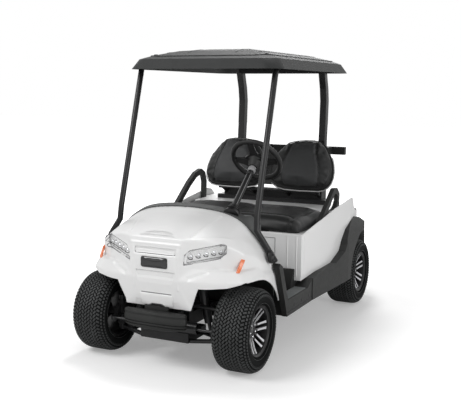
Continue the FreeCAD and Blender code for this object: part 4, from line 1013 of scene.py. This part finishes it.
def steering():
    """Steering wheel, and column with boot and lever; light grey strips on the spokes and along the column are
    painted highlights.
    """
    m = Matrix(((1, 0, 0), (0, 0.62932, 0.777146), (0, -0.777146, 0.62932))).to_4x4()
    m.translation = (0.27, -0.416, 1.096)
    shape = Shape()
    radius = [0.0148 + 0.0012 * max(0, cos(4 * (q - pi / 4))) for q in turns(96)]
    shape.tube(circle(0.145, 0, 96), radius, 14, closed=True)
    arms = ((0.02, 0.036, -0.03, 0.006), (0.05, 0.03, -0.024, 0.005), (0.085, 0.021, -0.016, 0.004),
            (0.115, 0.017, -0.01, 0.005), (0.14, 0.018, -0.006, 0.006))
    spoke = ((-1, -0.6), (-0.8, 1), (0.8, 1), (1, -0.6), (0.7, -1), (-0.7, -1))
    strip = ((-1, -1), (-1, 1), (1, 1), (1, -1))
    for q in (0.03, pi - 0.03):
        out = Vector((cos(q), sin(q), 0))
        aside = Vector((-out.y, out.x, 0))
        shape.rings([[out * d + aside * w * a + Vector((0, 0, lo if b < 0 else hi)) for a, b in spoke]
                     for d, w, lo, hi in arms])
        # Light grey strips on the spokes' tops, painted highlights
        shape.rings([[out * d + aside * w * a + Vector((0, 0, hi + 0.0016 * b)) for a, b in strip]
                     for d, w, hi in ((0.034, 0.008, 0.0058), (0.08, 0.007, 0.0048), (0.118, 0.005, 0.006))], slot=1)
    shape.rings([[(w * a, d, 0.004 * b - 0.006) for a, b in ((-1, -1), (-0.8, 1.6), (0.8, 1.6), (1, -1))]
                 for d, w in ((-0.045, 0.03), (-0.075, 0.022), (-0.11, 0.018), (-0.142, 0.02))])
    shape.rings([[(0.062 * k * cos(q) * (1.12 if abs(cos(q)) > 0.5 else 1), 0.052 * k * sin(q), z)
                  for q in turns(40)]
                 for z, k in ((-0.014, 1.0), (0.004, 1.0), (0.012, 0.93), (0.0165, 0.8), (0.018, 0.5))])
    shape.upright(((-0.012, 0.048), (-0.03, 0.041), (-0.055, 0.03), (-0.064, 0.026), (-0.065, 0.012)), 32, 2)
    obj = shape.made("wheel_grip", "steering_wheel", "grip", "shadow", "trim", angle=38, place=m)
    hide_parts("steering_wheel")
    shape = Shape()
    for slot, profile in (
            (1, ((-0.066, 0.012), (-0.067, 0.021), (-0.072, 0.0235), (-0.094, 0.0235), (-0.099, 0.02),
                 (-0.1, 0.012))),
            (0, ((-0.098, 0.0165), (-0.27, 0.0168), (-0.39, 0.018), (-0.43, 0.018))),
            (0, ((-0.105, 0.0185), (-0.108, 0.0205), (-0.122, 0.0205), (-0.125, 0.0185))),
            (0, ((-0.375, 0.0185), (-0.385, 0.028), (-0.41, 0.036), (-0.438, 0.044)))):
        shape.upright(profile, 28, slot)
    for k in range(3):
        shape.tube(circle(0.0275 + k * 0.0055, -0.384 - k * 0.014, 32), 0.003, 6, closed=True)
    # Two thin light grey lines along the column, painted highlights
    for q, r in ((radians(205), 0.0014 * 1.6), (radians(320), 0.001 * 1.6)):
        shape.tube([(0.0168 * cos(q), 0.0168 * sin(q), -0.128),
                    (0.0178 * cos(q), 0.0178 * sin(q), -0.38)], r, 6, slot=1)
    shape.tube([(0.02, 0, -0.083), (0.06, 0.004, -0.078), (0.098, 0.01, -0.068)], [0.0045, 0.004, 0.0055], 10)
    obj = shape.made("steering_tube", "chassis", "tube", "shadow", angle=40, place=m)
    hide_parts("steering_column")


# Floor, posts, roof and rear
def ribbed(name, node, xs, ys, start, cap, every, mat):
    """A ribbed mat over the level parts of a solid below the cap height."""
    cols, rows = int((xs[1] - xs[0]) / 0.0075), int((ys[1] - ys[0]) / 0.013)
    verts, index = [], {}
    for j in range(rows):
        y = ys[0] + (ys[1] - ys[0]) * j / (rows - 1)
        for i in range(cols):
            x = xs[0] + (xs[1] - xs[0]) * i / (cols - 1)
            at, n = surface(node, "Z", x, y, start)
            if at and n.z > 0.3 and at.z < cap:
                rib = 0.0046 if i % every == 1 and 0 < j < rows - 1 else 0.0016
                index[i, j] = len(verts)
                verts.append(at + n * rib)
    cells = (((i, j), (i + 1, j), (i + 1, j + 1), (i, j + 1)) for i in range(cols - 1) for j in range(rows - 1))
    faces = [tuple(index[k] for k in cell) for cell in cells if all(k in index for k in cell)]
    Shape().add(verts, faces).made(name, "chassis", mat, angle=25)


def sills():
    """Rockers with the photo's narrower post, clips and ribbed pads."""
    for name, side in SIDES:
        mesh = nodes["rocker_" + name].data.copy()
        co = coords(mesh)
        for y, z, shift in ((-0.567, 0.334, 0.052), (-0.659, 0.545, 0.05)):
            co[(np.abs(co[:, 1] - y) < 0.004) & (np.abs(co[:, 2] - z) < 0.004), 1] -= shift
        mesh.vertices.foreach_set("co", co.ravel())
        mesh.materials.clear()
        mesh.materials.append(M["trim"])
        mesh.polygons.foreach_set("material_index", [0] * len(mesh.polygons))
        obj = linked("sill_" + name, mesh)
        obj.modifiers.new("weld", "WELD")
        beveled(obj, 0.007, 3, 28)
        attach(obj, "chassis")
        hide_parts("rocker_" + name)
        shape = Shape()
        for y in (-0.52, -0.4, -0.28):
            shape.lathe([(-0.004, 0.009), (0.0012, 0.009), (0.0022, 0.0065), (0.0016, 0.003)], 18,
                        matrix=outward(side, 0.566, y, 0.285))
        shape.tube([(side * 0.5665, y, 0.262) for y in (-0.62, -0.24)], 0.0022, 6)
        shape.made("sill_clips_" + name, "chassis", "rail", bevel=0.0008)
        pad = Shape()
        for k in range(9):
            x = side * (0.4875 + k * 0.0078)
            pad.box((x - 0.0027, -0.608, 0.334), (x + 0.0027, -0.312, 0.3385))
        pad.box((side * 0.519 - 0.036, -0.612, 0.3325), (side * 0.519 + 0.036, -0.308, 0.3358))
        pad.made("sill_pad_" + name, "chassis", "mat", bevel=0.0007)


def strut_feet():
    shape = Shape()
    for side in (1, -1):
        shape.rings([[(side * (0.517 + out), -0.786 + 0.024 * cos(q) * k, 0.606 + 0.034 * sin(q) * k)
                      for q in turns(24)] for out, k in ((0.0, 1), (0.016, 1), (0.02, 0.9), (0.0215, 0.6))])
        for z in (0.591, 0.621):
            shape.lathe([(-0.002, 0.0075), (0.005, 0.0075), (0.006, 0.006)], 6, slot=1,
                        matrix=outward(side, 0.538, -0.786, z))
    shape.made("strut_bolts", "chassis", "tube", "rail")


def roof_ribs():
    """Ribs, rim and bolts, none above the roof's top."""
    shape = Shape()

    def run(points, r, lift):
        path = []
        for p in divided(points, 0.03):
            at = surface("roof", "Z", p.x, p.y, 3)[0]
            if at:
                path.append(Vector((at.x, at.y, min(at.z + lift, 1.7475 - r))))
        shape.tube(path, r, 8)

    for x in (-0.31, -0.16, 0.16, 0.31):
        run([(x * 0.97, -0.47), (x, 0.0), (x * 0.97, 0.52)], 0.004, -0.0016)
    edge = rounded(-0.405, 0.405, -0.555, 0.605, 0.1, 6)
    run(edge + [edge[0]], 0.0045, 0.0)
    shape.made("roof_ribs", "chassis", "roof", angle=60)
    shape = Shape()
    for x, y in ((-0.27, 0.57), (0.27, 0.57), (-0.36, -0.5), (0.36, -0.5)):
        at = surface("roof", "Z", x, y, 3)[0]
        if at:
            shape.lathe([(-0.004, 0.013), (0.002, 0.013), (0.0032, 0.0105), (0.0032, 0.0005)], 20,
                        matrix=aimed((at.x, at.y, min(at.z, 1.744)), (0, 0, 1)))
    shape.made("roof_bolts", "chassis", "tube", angle=40)


def pod_lines():
    """Folds of the body under the seat, and its hatch."""
    shape = Shape()
    for side in (1, -1):
        for x, sink in ((0.489, 0.78), (0.43, 0.8)):
            line_on(shape, "rear_body", "Y", -2, ((side * x, 0.372), (side * x, 0.64)), 0.006, sink)
        line_on(shape, "rear_body", "X", side * 2, ((-0.262, 0.4), (-0.262, 0.66)), 0.006, 0.78)
    shape.made("pod_lines", "chassis", "white", angle=60)
    shape = Shape()
    for pts in (((-0.35, 0.62), (0.35, 0.62)), ((-0.35, 0.42), (0.35, 0.42)), ((-0.35, 0.42), (-0.35, 0.62)),
                ((0.35, 0.42), (0.35, 0.62))):
        line_on(shape, "rear_body", "Y", -2, pts, 0.002, 0.4)
    shape.made("pod_hatch", "chassis", "shadow", angle=60)


def tail_lamp(name, side):
    outline = rounded(0.337, 0.391, 0.543, 0.627, 0.01)
    big = rounded(0.334, 0.394, 0.54, 0.63, 0.012)
    mid = Vector((0.364, 0.585))

    def ring(pts, k, y):
        return [(side * (mid.x + (x - mid.x) * k), y, mid.y + (z - mid.y) * k) for x, z in pts]

    lens = Shape().rings([ring(outline, k, y) for k, y in
                          ((0.97, 1.121), (0.97, 1.13), (0.9, 1.1325), (0.4, 1.1335))])
    for z in (0.556, 0.57, 0.584, 0.598, 0.612):
        lens.tube([(side * 0.343, 1.1318, z), (side * 0.364, 1.133, z), (side * 0.385, 1.1318, z)], 0.0015, 6,
                  slot=1 if z < 0.565 else 0)
    obj = lens.made("tail_lens_" + name, "chassis", "red", "bowl", angle=40)
    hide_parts("tail_lamp_" + name)
    bezel = Shape().rings([ring(pts, k, y) for pts, k, y in (
        (big, 1.0, 1.1195), (big, 1.0, 1.1285), (big, 0.97, 1.131), (outline, 0.99, 1.13),
        (outline, 0.98, 1.1215))], caps=False)
    bezel.made("tail_bezel_" + name, "chassis", "trim", angle=40)


def rear_details():
    """Lamps, panel lines, blank plate, clips and bag cradles."""
    for name, side in SIDES:
        tail_lamp(name, side)
    shape = Shape()
    for pts in (((-0.31, 0.4), (0.31, 0.4)), ((-0.31, 0.6), (0.31, 0.6)), ((-0.31, 0.4), (-0.31, 0.6)),
                ((0.31, 0.4), (0.31, 0.6))):
        line_on(shape, "rear_body", "Y", 2, pts, 0.0022, 0.35)
    shape.made("rear_lines", "chassis", "shadow")
    shape = Shape()
    plate_on(shape, "rear_body", "Y", 2, rounded(-0.155, 0.155, 0.455, 0.54, 0.01), 0.005, 0.003)
    shape.made("rear_plate", "chassis", "white", angle=40)
    shape = Shape()
    for x in (-0.145, 0.145, -0.29, 0.29):
        at = surface("rear_body", "Y", x, 0.35, 2)[0]
        if at:
            shape.lathe([(-0.003, 0.008), (0.0015, 0.008), (0.0025, 0.006), (0.0018, 0.0005)], 18,
                        matrix=aimed(at, (0, 1, 0)))
    shape.made("rear_clips", "chassis", "rail", angle=40)
    shape = Shape()
    for x in (-0.21, 0.21):
        shape.rings([[(x + a, y, z) for y, z in ((0.67, 1.05), (0.8125, 1.05), (0.8125, 1.1095), (0.67, 1.1095))]
                     for a in (-0.075, -0.07, 0.07, 0.075)])
        for a in (-0.05, 0.05):
            strap = [(x + a * k, y, z) for k, y, z in
                     ((1, 0.8135, 1.105), (1.1, 0.818, 1.06), (1, 0.8165, 1.0), (0.9, 0.8125, 0.95))]
            shape.tube(strap, 0.009, 8, slot=1, flat=0.22)
        shape.box((x - 0.068, 0.808, 0.932), (x + 0.068, 0.8165, 0.962), 2)
    shape.made("bag_cradles", "chassis", "grip", "inset", "trim", bevel=0.0015)


PAINT = {
    "white": "front_cowl rear_body",
    "trim": "front_bumper floor_pan bag_well steering_column bag_rack rocker_ rear_flare_ hip_restraint_",
    "band": "dash_cowl",
    "roof": "roof",
    "tube": "rear_roof_frame seat_back_frame front_strut_",
    "rail": "frame_rails",
    "battery": "battery_pack",
    "cast": "rear_axle knuckle_",
    "steel": "pedals",
    "arm": "steering_rack front_suspension_ rear_suspension_ tie_rod_",
    "grip": "steering_wheel",
    "vinyl": "seat_bottom seat_back_",
    "red": "tail_lamp_",
    "bowl": "headlamp_",
}


place_camera()
studio()
for mat, names in PAINT.items():
    dress(mat, names)
wheels()
cowl_skin()
for name, side in SIDES:
    headlamp(name, side)
    seat_back(name, side)
nose()
bumper()
bench()
steering()
ribbed("floor_mat", "floor_pan", (-0.445, 0.445), (-0.725, -0.335), 1.0, 0.352, 3, "mat")
ribbed("bag_mat", "bag_well", (-0.36, 0.36), (0.74, 1.08), 0.6, 0.6, 4, "trim")
sills()
strut_feet()
roof_ribs()
pod_lines()
rear_details()
soften(0.006, 30, "rear_body")
soften(0.003, 28, "floor_pan bag_rack seat_back_frame bag_well rear_roof_frame roof rear_axle")
soften(0.004, 28, "rear_flare_")
soften(0.002, 28, "front_strut_ rear_suspension_ front_suspension_")

scene.view_settings.view_transform = "Standard"
